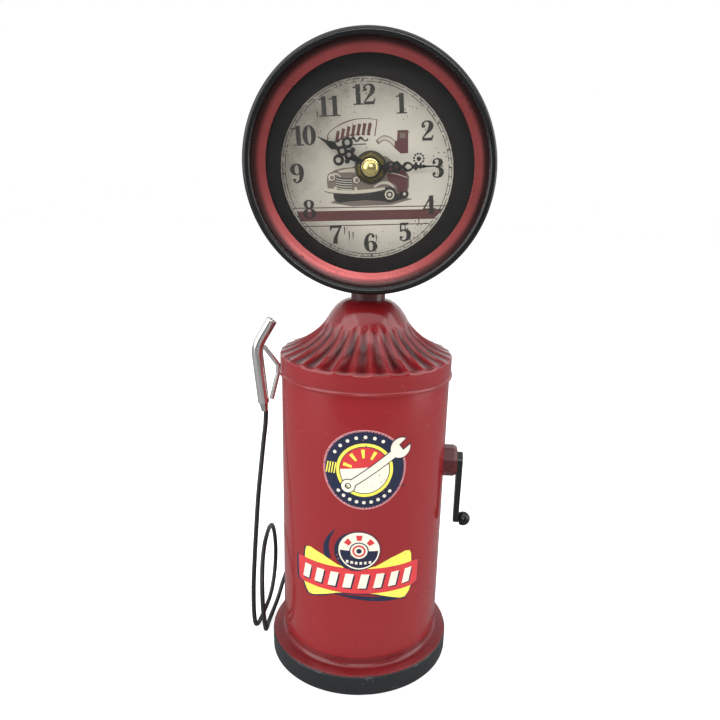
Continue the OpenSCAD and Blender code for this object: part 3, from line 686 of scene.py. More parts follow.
ribbon = [(left_end + 0.6, ribbon_low + 1.0), (left_end + 2.0, ribbon_low), (right_end - 3.4, ribbon_low),
    (right_end - 0.4, ribbon_low + 1.4), (right_end, ribbon_high - 1.0), (right_end - 1.4, ribbon_high),
    (left_end + 0.8, ribbon_high), (left_end, ribbon_high - 1.2)]
shadow = [swollen(w, 0.75, (-0.4, -0.5)) for w in wing_shapes] + [swollen(ribbon, 0.7, (-0.9, -0.5))]
crescent = brush([(-11.0, 90.6, 0.2), (-14.2, 85.6, 0.9), (-15.6, 80.2, 1.5), (-14.6, 74.4, 1.7)])
low_swoosh = brush([(-12.0, 55.4, 0.3), (-1.0, 54.4, 0.9), (12.0, 52.8, 1.2), (22.0, 51.2, 0.4)])
decal("ribbon_shadow", "navy", 1, shadow + crescent + low_swoosh)
decal("ribbon_wings", "yellow", 2, wing_shapes)
decal("ribbon_edge", "navy", 3, [swollen(ribbon, 0.25)], [ribbon])
decal("ribbon_band", "red", 3, [ribbon])
blocks, block_shadows = [], []
for k in range(8):
    x = -29.6 + 7.55 * k
    slant = [(x, 59.6), (x + 4.0, 59.6), (x + 5.6, 67.4), (x + 1.6, 67.4)]
    blocks.append(slant)
    block_shadows.append([(px + 0.75, pz - 0.7) for px, pz in slant])
decal("ribbon_block_shadows", "navy", 4, block_shadows)
decal("ribbon_blocks", "cream", 5, blocks)

disc_x, disc_z, disc_r = 0.9, 80.2, 10.5
decal("disc_shadow", "navy", 3, [circle(disc_x - 1.7, disc_z - 0.6, disc_r)],
    [circle(disc_x, disc_z, disc_r - 0.2)])
for name, ink, outer, inner in (("disc_line", "navy", disc_r, disc_r - 0.5),
        ("disc_rim", "cream", disc_r - 0.5, disc_r - 1.2)):
    decal(name, ink, 4, [circle(disc_x, disc_z, outer)], [circle(disc_x, disc_z, inner)])
upper = [on_circle(disc_x, disc_z, disc_r - 1.2, 6 * k) for k in range(31)]
lower = [(x, 2 * disc_z - z) for x, z in upper]
decal("disc_upper", "cream", 4, [upper])
decal("disc_lower", "navy", 4, [lower])
petals = []
for k in range(3):
    petals += brush([(*on_circle(disc_x, disc_z, r, 40 + 50 * k), wide) for r,
        wide in ((5.6, 1.1), (8.4, 1.6))], steps=2)
decal("disc_petals", "red", 5, petals)
for name, ink, layer, outer, inner in (("disc_hub_line", "navy", 5, 4.7, 4.1),
        ("disc_hub", "cream", 5, 4.1, 0), ("disc_hub_ring", "red", 6, 3.2, 2.3)):
    decal(name, ink, layer, [circle(disc_x, disc_z, outer)], [circle(disc_x, disc_z, inner)] if inner
        else ())
decal("disc_hub_dot", "navy", 6, [circle(disc_x, disc_z, 1.3, 24)])
ticks = []
for k in range(6):
    x, dip = disc_x - 6.2 + 2.2 * k, 0.7 * math.sin(math.pi * k / 5.6)
    ticks.append(box_of(x, disc_z - 6.6 - dip, x + 1.2, disc_z - 5.2 - dip))
decal("disc_ticks", "cream", 5, ticks)

# Back seam. Where the two ends of the body sheet meet at the back they are folded over each other and
# pressed flat, which leaves a narrow raised strip under the enamel.
half_way_round = math.pi * body_radius
strip = box_of(half_way_round - 2.1, body_low + 0.4, half_way_round + 2.1, cap_low - 0.15)
seam = shown("back_seam", plate("back_seam", [fine(strip, 1.0)], (), -0.1, 0.32, spacing=0.7,
    bend=round_body), body_red)


def rounded_edges(made, width, segments=3, angle=35):
    edge = made.modifiers.new("rounded_edges", "BEVEL")
    edge.width = width * mm
    edge.segments = segments
    edge.limit_method = "ANGLE"
    edge.angle_limit = math.radians(angle)


rounded_edges(seam, 0.2, 3, 50)
settle(seam, "clock_frame")

# Dome cap. A pressed steel cap over the top of the body: a straight collar with a small bead along
# its lower edge, a scalloped shoulder, and flutes that run up and fade out under a smooth crown.
flutes, columns_in_flute = 30, 14
cap_radius = body_radius + 0.65
collar_top = cap_low + 10
dome_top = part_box("dome_cap")[1][2] / mm
neck_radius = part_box("neck_tube")[1][0] / mm
dome_line = [(radius, dome_top - drop, deep) for radius, drop, deep in (
    (neck_radius - 0.4, 0, 0), (11.8, 1.1, 0), (15.2, 3.6, 0), (17.7, 6.8, 0), (19.4, 9.6, 0),
    (21.8, 12.8, 0.9), (24.8, 16.0, 1.6), (28.8, 19.2, 2.1), (33.2, 22.0, 2.4), (37.6, 24.2, 2.5),
    (cap_radius - 0.9, 25.7, 2.3))]
shoulder = [(cap_radius + out, collar_top + up, deep) for out, up, deep in (
    (-0.15, 0.75, 1.7), (0, 0.15, 0.6), (0, -0.6, 0), (0, -1.0, 0))]
bead = [(cap_radius + out, cap_low + up, 0) for out, up in (
    (0, 2.3), (0, 1.9), (0.3, 1.65), (0.62, 1.25), (0.72, 0.8), (0.6, 0.35), (0.2, 0), (-0.6, 0))]
inner_side = [(cap_radius - 0.6, collar_top - 2.6, 0), (35, dome_top - 27.4, 0), (20, dome_top - 16.5, 0),
    (10, dome_top - 3.4, 0), (neck_radius - 5.9, dome_top - 3.4, 0)]
rows = [tuple(p) for p in through(dome_line, 5)] + shoulder + bead + inner_side
maker = bmesh.new()
mark = maker.verts.layers.float.new("rim")
# The groove value is a mask of painted shade: it is high in the flute hollows and on the crown under the
# neck.
shade_layer = maker.verts.layers.float.new("groove")
around = flutes * columns_in_flute
rings = []
for radius, height, deep in rows:
    ring = []
    for k in range(around):
        a = math.tau * k / around
        groove = math.sqrt(math.sin(a * flutes / 2) ** 2 + 0.012) ** 0.8
        vert = maker.verts.new(((radius - deep * groove) * math.cos(a),
            (radius - deep * groove) * math.sin(a), height))
        vert[mark] = max(0.0, 1 - 3 * groove) if deep > 0.3 else (1.0 if radius > cap_radius + 0.3 else 0.0)
        crown = 0.45 if height > dome_top - 9.8 else 0.0
        vert[shade_layer] = crown + min(1.0, deep / 1.2) * max(0.0, groove - 0.3) / 0.7 * 1.3
        ring.append(vert)
    rings.append(ring)
skin(maker, rings + rings[:1])
# The pale pink that the edge wear lays in small patches on the flute crests and the bead is partly rubbed
# enamel and partly a painted highlight.
dome_red = finish("dome_red", (134, 27, 32), 0.2, coat=0.25, cloudy=(30.0, 0.07), lines=0.004,
    speck=((70, 24, 26), 620.0, 0.06), grain=(420.0, 0.06), bare=((150, 70, 70), 0.16))
# Painted shade: where the groove value is high the red goes over, in patches, into a dark maroon.
tree, base, where = opened(dome_red)
groove_mask = node(tree, "ShaderNodeAttribute", attribute_name="groove")
shade_patches = noise(tree, where, 90.0, 3.0)
shade_depth = maths(tree, "MULTIPLY", shade_patches, 1.15)
shade_cover = maths(tree, "MULTIPLY", groove_mask.outputs["Fac"], shade_depth, use_clamp=True)
shade_laid = blend(tree, shade_cover, base.links[0].from_socket, tint(56, 14, 18))
tree.links.new(shade_laid, base)
chip_away(dome_red)
fluted_cap = shown("fluted_cap", as_mesh(maker, "fluted_cap", Matrix()), dome_red)
settle(fluted_cap, "clock_frame", "dome_cap")

# Neck. A short tube between dome and drum, enamelled dark red, with the bolt, washers and nut that
# clamp dome, tube and drum together hidden inside.
neck_red = finish("neck_red", (74, 22, 28), 0.34, coat=0.5, cloudy=(60.0, 0.1), grain=(900.0, 0.12),
    speck=((30, 14, 16), 300.0, 0.16))
dress("neck_tube", neck_red)
for hidden in ("neck_bolt", "neck_washers", "neck_nut"):
    dress(hidden, steel)

# Head. A rolled drum with a glossy black rolled rim pressed on at each end, a satin red reflector ring
# behind the front rim, and a flat glass held against it by a black spacer.
head_low, head_high = (Vector(corner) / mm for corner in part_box("front_bezel"))
head_radius = head_high.x
head_z = (head_low.z + head_high.z) / 2
head_half = -head_low.y
HEAD = Matrix.Translation((0, 0, head_z)) @ Matrix.Rotation(math.radians(90), 4, "X")
roll = 1.8
drum_radius = head_radius - 1.3
drum_half = head_half - 2 * roll
roll_at = head_half - roll
rim_skirt = 5.0

drum_red = finish("drum_red", (120, 24, 29), 0.24, coat=0.25, cloudy=(26.0, 0.08), grain=(420.0, 0.06),
    speck=((60, 22, 24), 260.0, 0.1))
drum_outline = [(drum_radius - 0.8, -drum_half), (drum_radius, -drum_half), (drum_radius, drum_half),
    (drum_radius - 0.8, drum_half)]
drum = shown("drum", lathe("drum", soften(drum_outline, 0.25), HEAD, 256), drum_red)
settle(drum, "clock_frame", "drum_shell")

rim_black = finish("rim_black", (9, 10, 11), 0.27, cloudy=(34.0, 0.1), lines=0.004,
    speck=((70, 68, 64), 620.0, 0.05), grain=(500.0, 0.05))
arc = [on_circle(head_radius - roll, roll_at, roll, a) for a in range(0, 271, 15)]
for name, flip, cad_rim in (("front_rim", 1, "front_bezel"), ("back_rim", -1, "rear_rim")):
    outline = [(drum_radius + 0.1, roll_at - rim_skirt), (head_radius - 0.3, roll_at - rim_skirt),
        (head_radius, roll_at - rim_skirt + 0.3)] + arc + [(drum_radius + 0.1, roll_at - roll)]
    rolled = shown(name, lathe(name, [(r, flip * z) for r, z in outline], HEAD, 256), rim_black)
    settle(rolled, "clock_frame", cad_rim)

seat = roll_at - roll
ring_outer = head_radius - 2 * roll - 0.3
ring_inner = ring_outer - 5.6
reflector_red = finish("reflector_red", (150, 68, 68), 0.3, metal=0.55, cloudy=(50.0, 0.1), lines=0.006,
    speck=((90, 40, 40), 620.0, 0.06), grain=(700.0, 0.12))
# Painted shade: towards its outer edge the ring's red goes over into near black all round, where the rolled
# rim shades it.
tree, base, where = opened(reflector_red)
flat = node(tree, "ShaderNodeVectorMath", {0: where, 1: (1, 0, 1)}, operation="MULTIPLY")
out_from = node(tree, "ShaderNodeVectorMath", {0: flat, 1: (0, 0, head_z * mm)}, operation="DISTANCE")
rim_shade = ranged(tree, out_from.outputs["Value"], (ring_outer - 3.4) * mm, (ring_outer - 0.6) * mm, 0.0,
    0.9, "SMOOTHSTEP")
rim_shaded = blend(tree, rim_shade, base.links[0].from_socket, tint(18, 15, 16))
tree.links.new(rim_shaded, base)
ring_outline = [(drum_radius - 0.9, seat - 2.1), (ring_inner + 1.6, seat - 2.1), (ring_inner, seat - 2.1),
    (ring_inner, seat - 1.8), (ring_inner + 1.6, seat - 1.55), (ring_inner + 3.6, seat - 0.9),
    (ring_outer, seat - 0.1), (drum_radius - 0.9, seat - 0.1)]
reflector = shown("reflector", lathe("reflector", soften(ring_outline, 0.25), HEAD, 256), reflector_red)
settle(reflector, "clock_frame", "reflector_ring")

dress("spacer_ring", finish("spacer_black", (18, 18, 19), 0.5, grain=(1500.0, 0.2)))

clear = bpy.data.materials.new("clear_glass")
clear.use_nodes = True
tree = clear.node_tree
shader = tree.nodes["Principled BSDF"]
shader.inputs["Base Color"].default_value = (0.97, 0.98, 0.97, 1)
shader.inputs["Transmission Weight"].default_value = 1.0
shader.inputs["IOR"].default_value = 1.45
smear = noise(tree, node(tree, "ShaderNodeTexCoord").outputs["Object"], 60.0, 3.0)
haze = ranged(tree, smear, 0.45, 0.8, 0.0, 0.015)
tree.links.new(haze.outputs[0], shader.inputs["Roughness"])
ray = node(tree, "ShaderNodeLightPath")
soft_ray = maths(tree, "MAXIMUM", ray.outputs["Is Shadow Ray"], ray.outputs["Is Diffuse Ray"])
open_way = node(tree, "ShaderNodeBsdfTransparent", {"Color": (0.93, 0.94, 0.93, 1)})
passing = node(tree, "ShaderNodeMixShader", {0: soft_ray, 1: shader, 2: open_way})
tree.links.new(passing.outputs[0], tree.nodes["Material Output"].inputs["Surface"])
dress("lens", clear)

# Dial. A hardboard disc with a printed paper face: a dark brown border, an aged cream disc with
# painted shade that darkens it away from a spot right of and below its middle, a thin minute track,
# brown numerals with slab feet, and a small scene of a pump and an old car in sepia.
dial_face = 4.6
print_spot, print_turn = (-1.7, -1.4), math.radians(4.4)
PRINT = HEAD @ Matrix.Translation((*print_spot, 0)) @ Matrix.Rotation(print_turn, 4, "Z")
cream_radius = 38.9
border_brown = finish("border_brown", (18, 11, 11), 0.66, cloudy=(70.0, 0.25), lines=0.006,
    speck=((92, 82, 74), 620.0, 0.1), grain=(2200.0, 0.12))
border_brown.node_tree.nodes["Principled BSDF"].inputs["Specular IOR Level"].default_value = 0.25
dial_outline = soften([(4.0, dial_face - 0.7), (drum_radius - 0.9, dial_face - 0.7),
    (drum_radius - 0.9, dial_face), (4.0, dial_face)], 0.08)
dial_board = shown("dial_board", lathe("dial_board", dial_outline, HEAD, 128), border_brown)
settle(dial_board, "clock_frame", "dial_plate")

inks = {}
for ink, colour, cloudy, speck in (
        ("cream", (208, 200, 188), (60.0, 0.05), ((120, 108, 92), 520.0, 0.26)),
        ("numeral", (36, 29, 26), (240.0, 0.2), ((150, 138, 120), 900.0, 0.22)),
        ("black", (30, 27, 26), (200.0, 0.2), ((150, 138, 120), 800.0, 0.3)),
        ("maroon", (88, 44, 44), (120.0, 0.12), ((150, 130, 116), 700.0, 0.2)),
        ("sepia", (112, 98, 90), (160.0, 0.16), ((170, 160, 140), 700.0, 0.2)),
        ("light", (196, 186, 170), (160.0, 0.08), None)):
    inks[ink] = finish("print_" + ink, colour, 0.5, cloudy=cloudy, grain=(2400.0, 0.1), speck=speck)
# Painted shade: the cream goes over into a brown tone away from a spot right of and below the dial's
# middle, mottled by foxing.
tree, base, where = opened(inks["cream"])
flat = node(tree, "ShaderNodeVectorMath", {0: where, 1: (1, 0, 1)}, operation="MULTIPLY")
off_centre = node(tree, "ShaderNodeVectorMath", {0: flat, 1: (9 * mm, 0, (head_z - 6) * mm)},
    operation="DISTANCE")
dial_painted_shade = ranged(tree, off_centre.outputs["Value"], 16 * mm, 52 * mm, 0.0, 0.8, "SMOOTHSTEP")
foxing = noise(tree, where, 70.0, 5.0, Roughness=0.65)
mottle = maths(tree, "MULTIPLY_ADD", foxing, 1.9, 0.05)
foxed_and_shaded = maths(tree, "MULTIPLY", dial_painted_shade, mottle, use_clamp=True)
toned = blend(tree, foxed_and_shaded, base.links[0].from_socket, tint(112, 102, 92))
tree.links.new(toned, base)


def printed(name, ink, layer, solids, holes=(), place=HEAD):
    holes = list(holes) + [washer_hole] if place is HEAD else holes
    low = dial_face + (0.002 if layer == 1 else 0.02 * (layer - 1) - 0.006)
    made = shown(name, plate(name, solids, holes, low, dial_face + 0.02 * layer, place), inks[ink])
    settle(made, "clock_frame")


random.seed(41)
washer_radius = 7.0
washer_hole = circle(0, 0, washer_radius, 48)
ragged = [on_circle(0, 0, cream_radius + random.uniform(-0.06, 0.12), 1.2 * k) for k in range(300)]
dial_middle = (PRINT.inverted() @ HEAD @ Vector()).xy
printed("face_cream", "cream", 1, [ragged], [circle(*dial_middle, washer_radius, 48)], PRINT)

track_marks = []
for k in range(180):
    a0, a1 = 2 * k, 2 * (k + 0.98)
    for radius in (37.0, 38.2):
        if random.random() < 0.86:
            half = random.uniform(0.1, 0.19)
            track_marks.append([on_circle(0, 0, radius - half, a0), on_circle(0, 0, radius - half, a1),
                on_circle(0, 0, radius + half, a1), on_circle(0, 0, radius + half, a0)])
for k in range(60):
    if random.random() < 0.8:
        wide = 0.26 if k % 5 == 0 else 0.15
        track_marks += brush([(*on_circle(0, 0, r, 6 * k), wide) for r in (36.9, 38.3)], steps=1)
printed("minute_track", "black", 3, track_marks, (), PRINT)

band = [(-33.6, -20.6), (-31.8, -25.0), (29.6, -21.2), (33.8, -16.6)]
printed("dial_band", "maroon", 2, [band])
rules = (brush([(-35.0, -19.2, 0.22), (34.6, -15.2, 0.22)], steps=1)
    + brush([(-30.6, -27.2, 0.22), (27.6, -23.4, 0.22)], steps=1))
printed("dial_rules", "maroon", 2, rules)


def pen(points, closed=False):
    return brush(points, closed, fatten=1.18)


strokes = {}
strokes["0"] = pen([(.30, .97, .028), (.17, .84, .065), (.11, .5, .09), (.17, .16, .065), (.30, .03, .028),
    (.43, .16, .065), (.49, .5, .09), (.43, .84, .065)], True)
strokes["1"] = ([box_of(.20, 0, .40, .99), box_of(.08, 0, .52, .065)]
    + pen([(.30, .96, .035), (.20, .87, .032), (.07, .83, .028)]))
strokes["2"] = (pen([(.12, .66, .05), (.10, .80, .045), (.16, .92, .032), (.29, .97, .03), (.42, .90, .06),
    (.46, .74, .09), (.40, .56, .08), (.26, .37, .045), (.13, .19, .032), (.08, .08, .03)])
    + [circle(.14, .72, .075, 20), [(.04, 0), (.50, 0), (.56, .27), (.51, .27), (.45, .145), (.12, .145)]])
strokes["3"] = (pen([(.10, .80, .03), (.16, .92, .03), (.28, .97, .03), (.40, .90, .065), (.43, .76, .085),
    (.36, .61, .06), (.22, .545, .028)]) + pen([(.22, .545, .028), (.38, .50, .06), (.46, .30, .09),
    (.41, .11, .065), (.28, .03, .03), (.14, .07, .03), (.09, .19, .03)])
    + [circle(.14, .78, .075, 20), circle(.14, .22, .075, 20)])
strokes["4"] = ([box_of(.30, 0, .49, .99), box_of(.02, .25, .59, .32), box_of(.21, 0, .57, .06)]
    + pen([(.40, .96, .045), (.22, .63, .03), (.05, .30, .03)]))
strokes["5"] = ([[(.11, .99), (.14, .86), (.44, .86), (.50, 1.0)]] + pen(
    [(.135, .95, .03), (.12, .52, .03)]) + [circle(.14, .21, .075, 20)]
    + pen([(.12, .51, .03), (.21, .585, .035), (.32, .60, .05), (.45, .50, .08), (.48, .31, .09),
    (.42, .12, .065), (.28, .03, .03), (.14, .07, .03), (.09, .18, .03)]))
strokes["6"] = (pen([(.46, .82, .03), (.40, .93, .03), (.29, .96, .035), (.16, .83, .06), (.10, .56, .085),
    (.11, .28, .09), (.18, .09, .055), (.30, .03, .03), (.43, .11, .065), (.49, .28, .09), (.44, .47, .065),
    (.31, .56, .03), (.20, .50, .03), (.14, .38, .035)]) + [circle(.42, .82, .07, 20)])
strokes["7"] = ([[(.04, .99), (.57, .99), (.57, .92), (.52, .845), (.13, .845), (.08, .71), (.03, .71)]]
    + pen([(.53, .92, .032), (.39, .62, .045), (.28, .32, .07), (.24, .0, .09)]))
strokes["8"] = (pen([(.30, .97, .028), (.18, .90, .055), (.145, .77, .07), (.20, .62, .05), (.30, .55, .03),
    (.41, .62, .055), (.455, .77, .07), (.42, .90, .05)], True) + pen(
    [(.30, .54, .03), (.15, .43, .06), (.10, .27, .085), (.16, .10, .06), (.30, .03, .03), (.44, .10, .06),
    (.50, .27, .085), (.45, .43, .06)], True))
strokes["9"] = [[(.59 - x, .99 - y) for x, y in shape] for shape in strokes["6"]]
numeral_height = 8.4
numeral_unit = 10.3
numeral_circle = 31.8
advance = {"1": 0.47}
for hour in range(1, 13):
    figures = str(hour)
    x, y = on_circle(0, 0, numeral_circle, 90 - 30 * hour)
    x -= sum(advance.get(f, 0.58) for f in figures) * numeral_unit / 2
    y -= numeral_height / 2
    shapes = []
    for f in figures:
        shapes += [[(x + u * numeral_unit, y + v * numeral_height) for u, v in shape]
            for shape in strokes[f]]
        x += advance.get(f, 0.58) * numeral_unit
    printed("numeral_%02d" % hour, "numeral", 4, shapes, (), PRINT)

pennant_top = [(-19.6, 10.4, 0), (-18.7, 14.2, 0), (-12.4, 18.2, 0), (-5.4, 20.2, 0), (2.0, 20.2, 0)]
pennant_foot = [(1.2, 13.4, 0), (-5.4, 14.1, 0), (-11.6, 12.9, 0), (-16.4, 10.2, 0)]
pennant = [tuple(p[:2]) for side in (pennant_top, pennant_foot) for p in through(side, 5)]
printed("pennant_edge", "maroon", 2, [swollen(pennant, 0.4)], [swollen(pennant, -0.1)])
printed("pennant_fold", "maroon", 2, [[(-17.9, 9.9), (-16.6, 10.4), (-13.2, 12.3), (-14.6, 10.2)]])
pennant_marks = []
for k in range(7):
    x = -15.4 + 2.35 * k
    low_y = 13.3 - 0.02 * (x + 2) ** 2
    pennant_marks += brush([(x - 0.3, low_y + 0.3, 0.62), (x + 0.5, low_y + 5.0 + 0.06 * k, 0.78)], steps=1)
    pennant_marks += brush([(x - 0.9, low_y + 0.6, 0.3), (x + 0.7, low_y + 0.75, 0.3)], steps=1)
printed("pennant_marks", "maroon", 2, pennant_marks)
scroll = brush([(-10.0, 10.6, 0.2), (-8.4, 12.2, 0.6), (-6.6, 10.8, 0.3), (-5.0, 12.4, 0.6),
    (-3.0, 11.2, 0.25), (-1.6, 12.0, 0.45)])
printed("scroll", "black", 2, scroll + brush([(-9.6, 9.3, 0.15), (-2.4, 9.9, 0.25)]))
printed("pump_spout_line", "sepia", 2, brush([(10.9, 9.9, 1.15), (8.0, 12.2, 1.15), (5.0, 12.6, 1.1),
    (2.4, 10.6, 1.0)]))
printed("pump_spout", "light", 3, brush([(10.9, 9.9, 0.75), (8.0, 12.2, 0.75), (5.0, 12.6, 0.7),
    (3.0, 11.2, 0.6)]))
printed("pump_block", "maroon", 4, [[(11.4, 16.2), (16.1, 16.5), (16.5, 6.8), (13.2, 6.5), (10.2, 8.9),
    (10.4, 11.4), (11.3, 12.0)]])
printed("pump_window", "sepia", 5, [box_of(12.4, 13.0, 15.0, 15.2)])

printed("car_shadow", "sepia", 2, [[(-18.4, -16.2), (-8.0, -17.2), (10.0, -15.8), (19.6, -12.8),
    (12.0, -12.2), (-12.0, -12.6)]])
printed("car_underside", "black", 3, [[(-16.4, -12.4), (-15.6, -15.2), (-11.4, -15.4), (-2.0, -14.2),
    (6.4, -14.4), (9.6, -14.8), (16.4, -12.6), (17.0, -9.6), (-16.0, -9.8)]])
printed("car_body", "sepia", 4, [[(-19.4, -9.8), (-19.9, -6.4), (-18.9, -3.3), (-16.3, -1.7), (-12.6, -0.7),
    (-8.6, -0.2), (-6.2, 1.0), (-3.6, 4.6), (1.4, 5.6), (7.0, 4.9), (11.4, 1.9), (15.6, -0.3), (17.4, -3.2),
    (17.5, -8.0), (16.4, -10.9), (6.0, -10.6), (4.4, -9.8)]])
printed("car_flank", "maroon", 5, [[(7.4, 1.4), (10.8, 1.4), (15.2, -0.9), (16.9, -3.6), (16.9, -7.8),
    (15.9, -10.2), (12.4, -10.4), (11.8, -7.2), (8.2, -5.6), (7.2, -2.6)]])
printed("car_flank_line", "light", 6, brush([(7.6, -1.9, 0.14), (11.6, -2.3, 0.2), (16.6, -3.6, 0.14)]))
printed("car_bonnet", "light", 5, brush([(-14.6, -2.4, 0.35), (-9.4, -1.6, 0.8), (-4.6, -1.6, 0.9),
    (-1.0, -2.2, 0.3)]) + brush([(-18.9, -6.6, 0.3), (-18.0, -4.0, 0.5), (-15.4, -3.4, 0.35),
    (-13.6, -4.6, 0.2)]) + brush([(1.6, -8.4, 0.3), (4.6, -6.6, 0.55), (8.2, -6.4, 0.6),
    (10.8, -8.2, 0.3)]))
printed("car_wheels", "black", 5, [circle(-13.6, -12.7, 3.2, 30), circle(8.6, -11.4, 3.5, 30),
    circle(15.4, -10.8, 2.1, 24)])
printed("car_hubs", "light", 6, [circle(8.8, -11.4, 2.2, 24)], [circle(8.8, -11.4, 1.5, 24)])
printed("car_hub_dot", "light", 6, [circle(8.8, -11.4, 0.8, 20), circle(15.6, -10.8, 0.7, 16)])
lamp_spots = [(-17.7, -4.9, 1.6), (-6.4, -5.6, 1.55)]
printed("car_lamp_rings", "black", 5, [circle(x, y, r + 0.35, 26) for x, y, r in lamp_spots])
printed("car_lamps", "light", 6, [circle(x, y, r, 26) for x, y, r in lamp_spots])
printed("car_lamp_hearts", "sepia", 7, [circle(x + 0.2, y - 0.2, r * 0.55, 20) for x, y, r in lamp_spots])
grille, bright_bars = [], []
for k in range(5):
    grille += brush([(-15.6, -4.9 - k, 0.3), (-12.0, -5.4 - k, 0.32), (-8.4, -5.2 - k, 0.3)], steps=3)
    bright_bars += brush([(-15.6, -5.4 - k, 0.17), (-12.0, -5.9 - k, 0.2), (-8.4, -5.7 - k, 0.17)], steps=3)
printed("car_grille", "black", 5, grille)
printed("car_grille_bars", "light", 6, bright_bars)
printed("car_bumper", "light", 7, brush([(-20.8, -10.3, 0.55), (-17.0, -10.9, 0.75), (-8.0, -10.9, 0.8),
    (1.0, -9.9, 0.75), (6.6, -8.7, 0.5)], steps=4) + [box_of(-16.4, -11.9, -15.3, -8.9),
    box_of(-7.2, -11.8, -6.1, -8.8)])
printed("car_bumper_line", "black", 8, brush([(-20.8, -11.1, 0.16), (-17.0, -11.8, 0.2),
    (-8.0, -11.9, 0.22), (1.0, -10.8, 0.2), (6.6, -9.4, 0.14)], steps=4))
laurel = [circle(*on_circle(21.4, 4.6, 2.2, 33 * k - 60), 0.5, 12) for k in range(10)]
printed("small_wreath", "black", 2, laurel + [circle(21.4, 4.6, 1.0, 20)])
drips = []
for x, y, long in ((-11.6, -26.6, 3.6), (-9.4, -28.4, 4.6), (-7.6, -28.8, 3.2), (3.2, -29.4, 4.0),
        (16.4, -24.4, 3.4), (22.6, -21.4, 2.6), (-24.4, 22.4, 2.4), (11.6, 30.4, 2.2)):
    drips += brush([(x, y, 0.28), (x + 0.2, y - long * 0.6, 0.2), (x - 0.1, y - long, 0.08)], steps=3)
printed("age_drips", "numeral", 1.4, drips)
spots = [circle(random.uniform(-30, 30), random.uniform(-30, 34), random.uniform(0.12, 0.34), 9)
    for _ in range(60)]
spots = [s for s in spots if 8.5 < math.hypot(s[0][0] - print_spot[0], s[0][1] - print_spot[1]) < 35.5]
printed("age_spots", "sepia", 1.5, spots)

# Centre of the dial. The movement's threaded brass bush comes through the dial, clamped by a dark
# washer and a hexagonal brass nut that has gone dull.
aged_brass = finish("aged_brass", (120, 104, 58), 0.36, metal=0.9, cloudy=(220.0, 0.2), lines=0.02,
    speck=((48, 40, 24), 500.0, 0.25), grain=(1800.0, 0.15))
dress("threaded_bushing", aged_brass)
dress("hex_nut", aged_brass)
dress("dial_washer", finish("washer_dark", (66, 62, 50), 0.45, metal=0.6, cloudy=(200.0, 0.2),
    grain=(2000.0, 0.2)))
dress("rubber_washer", socket_black)

# Hands. Each is pierced and stamped from thin sheet and painted black: the hour hand has a rosette of
# rings and a spear tip, the minute hand a pierced heart, a crown and a long needle.
hour_hand_z = 8.1
minute_hand_z = 9.3
hand_sheet = 0.4
hour_angle, minute_angle = 153, 3.5
hand_black = finish("hand_black", (17, 16, 16), 0.3, cloudy=(160.0, 0.15), lines=0.01,
    speck=((90, 86, 78), 700.0, 0.16), grain=(1600.0, 0.12), coat=0.3)


def blade(points, steps=5):
    """An outline from (distance along, half width) points, the same on both sides."""
    line = through([(x, w, 0) for x, w in points], steps)
    return [(p.x, max(p.y, 0.05)) for p in line] + [(p.x, -max(p.y, 0.05)) for p in reversed(line)]


def hand(name, body, cad_hand, solids, holes, low, degrees):
    place = HEAD @ Matrix.Rotation(math.radians(degrees), 4, "Z")
    made = shown(name, plate(name, solids, holes, low, low + hand_sheet, place), hand_black)
    rounded_edges(made, 0.09, 2, 50)
    settle(made, body, cad_hand)


hour_solids = [circle(0, 0, 4.8, 60), blade([(3.0, 1.3), (6.0, 1.2), (8.6, 1.5)]),
    circle(10.7, 0, 2.35, 36), circle(14.3, 0, 2.2, 36), circle(13.9, 4.1, 2.45, 40),
    circle(13.9, -4.1, 2.45, 40), circle(10.4, 2.7, 1.1, 24), circle(10.4, -2.7, 1.1, 24),
    blade([(15.6, 1.2), (17.2, 0.9), (18.8, 1.7), (20.0, 1.5), (22.2, 0.75), (24.6, 0.4), (26.7, 0.12)])]
hour_holes = [circle(0, 0, 2.6, 36), circle(10.9, 0, 0.95, 24), circle(14.3, 0, 1.0, 24),
    circle(14.0, 4.2, 1.15, 28), circle(14.0, -4.2, 1.15, 28)]
hand("hour_spear", "hour_set", "hour_hand", hour_solids, hour_holes, hour_hand_z, hour_angle)
minute_solids = [circle(0, 0, 4.5, 60), blade([(3.0, 1.3), (6.2, 1.1), (7.4, 1.9), (8.6, 2.6), (10.4, 2.2),
    (12.2, 2.5), (13.2, 1.6), (14.0, 0.8), (15.0, 1.3)]), blade([(14.4, 0.9), (15.4, 1.9), (17.0, 2.1),
    (18.4, 1.4), (19.2, 0.8), (20.0, 1.7), (20.8, 1.2), (21.4, 0.6), (22.2, 1.1), (23.0, 0.55), (23.8, 0.8),
    (24.8, 0.42), (28.0, 0.3), (32.0, 0.14)])]
minute_holes = [circle(0, 0, 1.5, 30), circle(9.1, 0.95, 0.75, 20), circle(9.1, -0.95, 0.75, 20),
    circle(11.5, 0, 0.8, 20), [(15.5, 0.2), (16.6, 1.2), (17.9, 0.7), (18.3, 0), (17.9, -0.7), (16.6, -1.2),
    (15.5, -0.2)]]
hand("minute_needle", "minute_set", "minute_hand", minute_solids, minute_holes, minute_hand_z, minute_angle)

# Cap nut. A small domed nut of bright lacquered brass that holds the minute hand.
cap_base = minute_hand_z + hand_sheet
bright_brass = finish("bright_brass", (246, 226, 150), 0.2, metal=1.0, cloudy=(300.0, 0.08), lines=0.012,
    grain=(1600.0, 0.05), speck=((150, 120, 60), 700.0, 0.15))
dome_ball = 4.9
cap_outline = [(0, cap_base), (3.7, cap_base), (3.86, cap_base + 0.12), (3.86, cap_base + 0.3),
    (3.7, cap_base + 0.4)]
for k in range(13):
    reach = 3.15 * (1 - k / 12)
    cap_outline.append((reach, cap_base + 1.5 - dome_ball + math.sqrt(dome_ball ** 2 - reach ** 2)))
cap_dome = shown("cap_dome", lathe("cap_dome", cap_outline, HEAD, 72), bright_brass)
settle(cap_dome, "minute_set", "cap_nut")

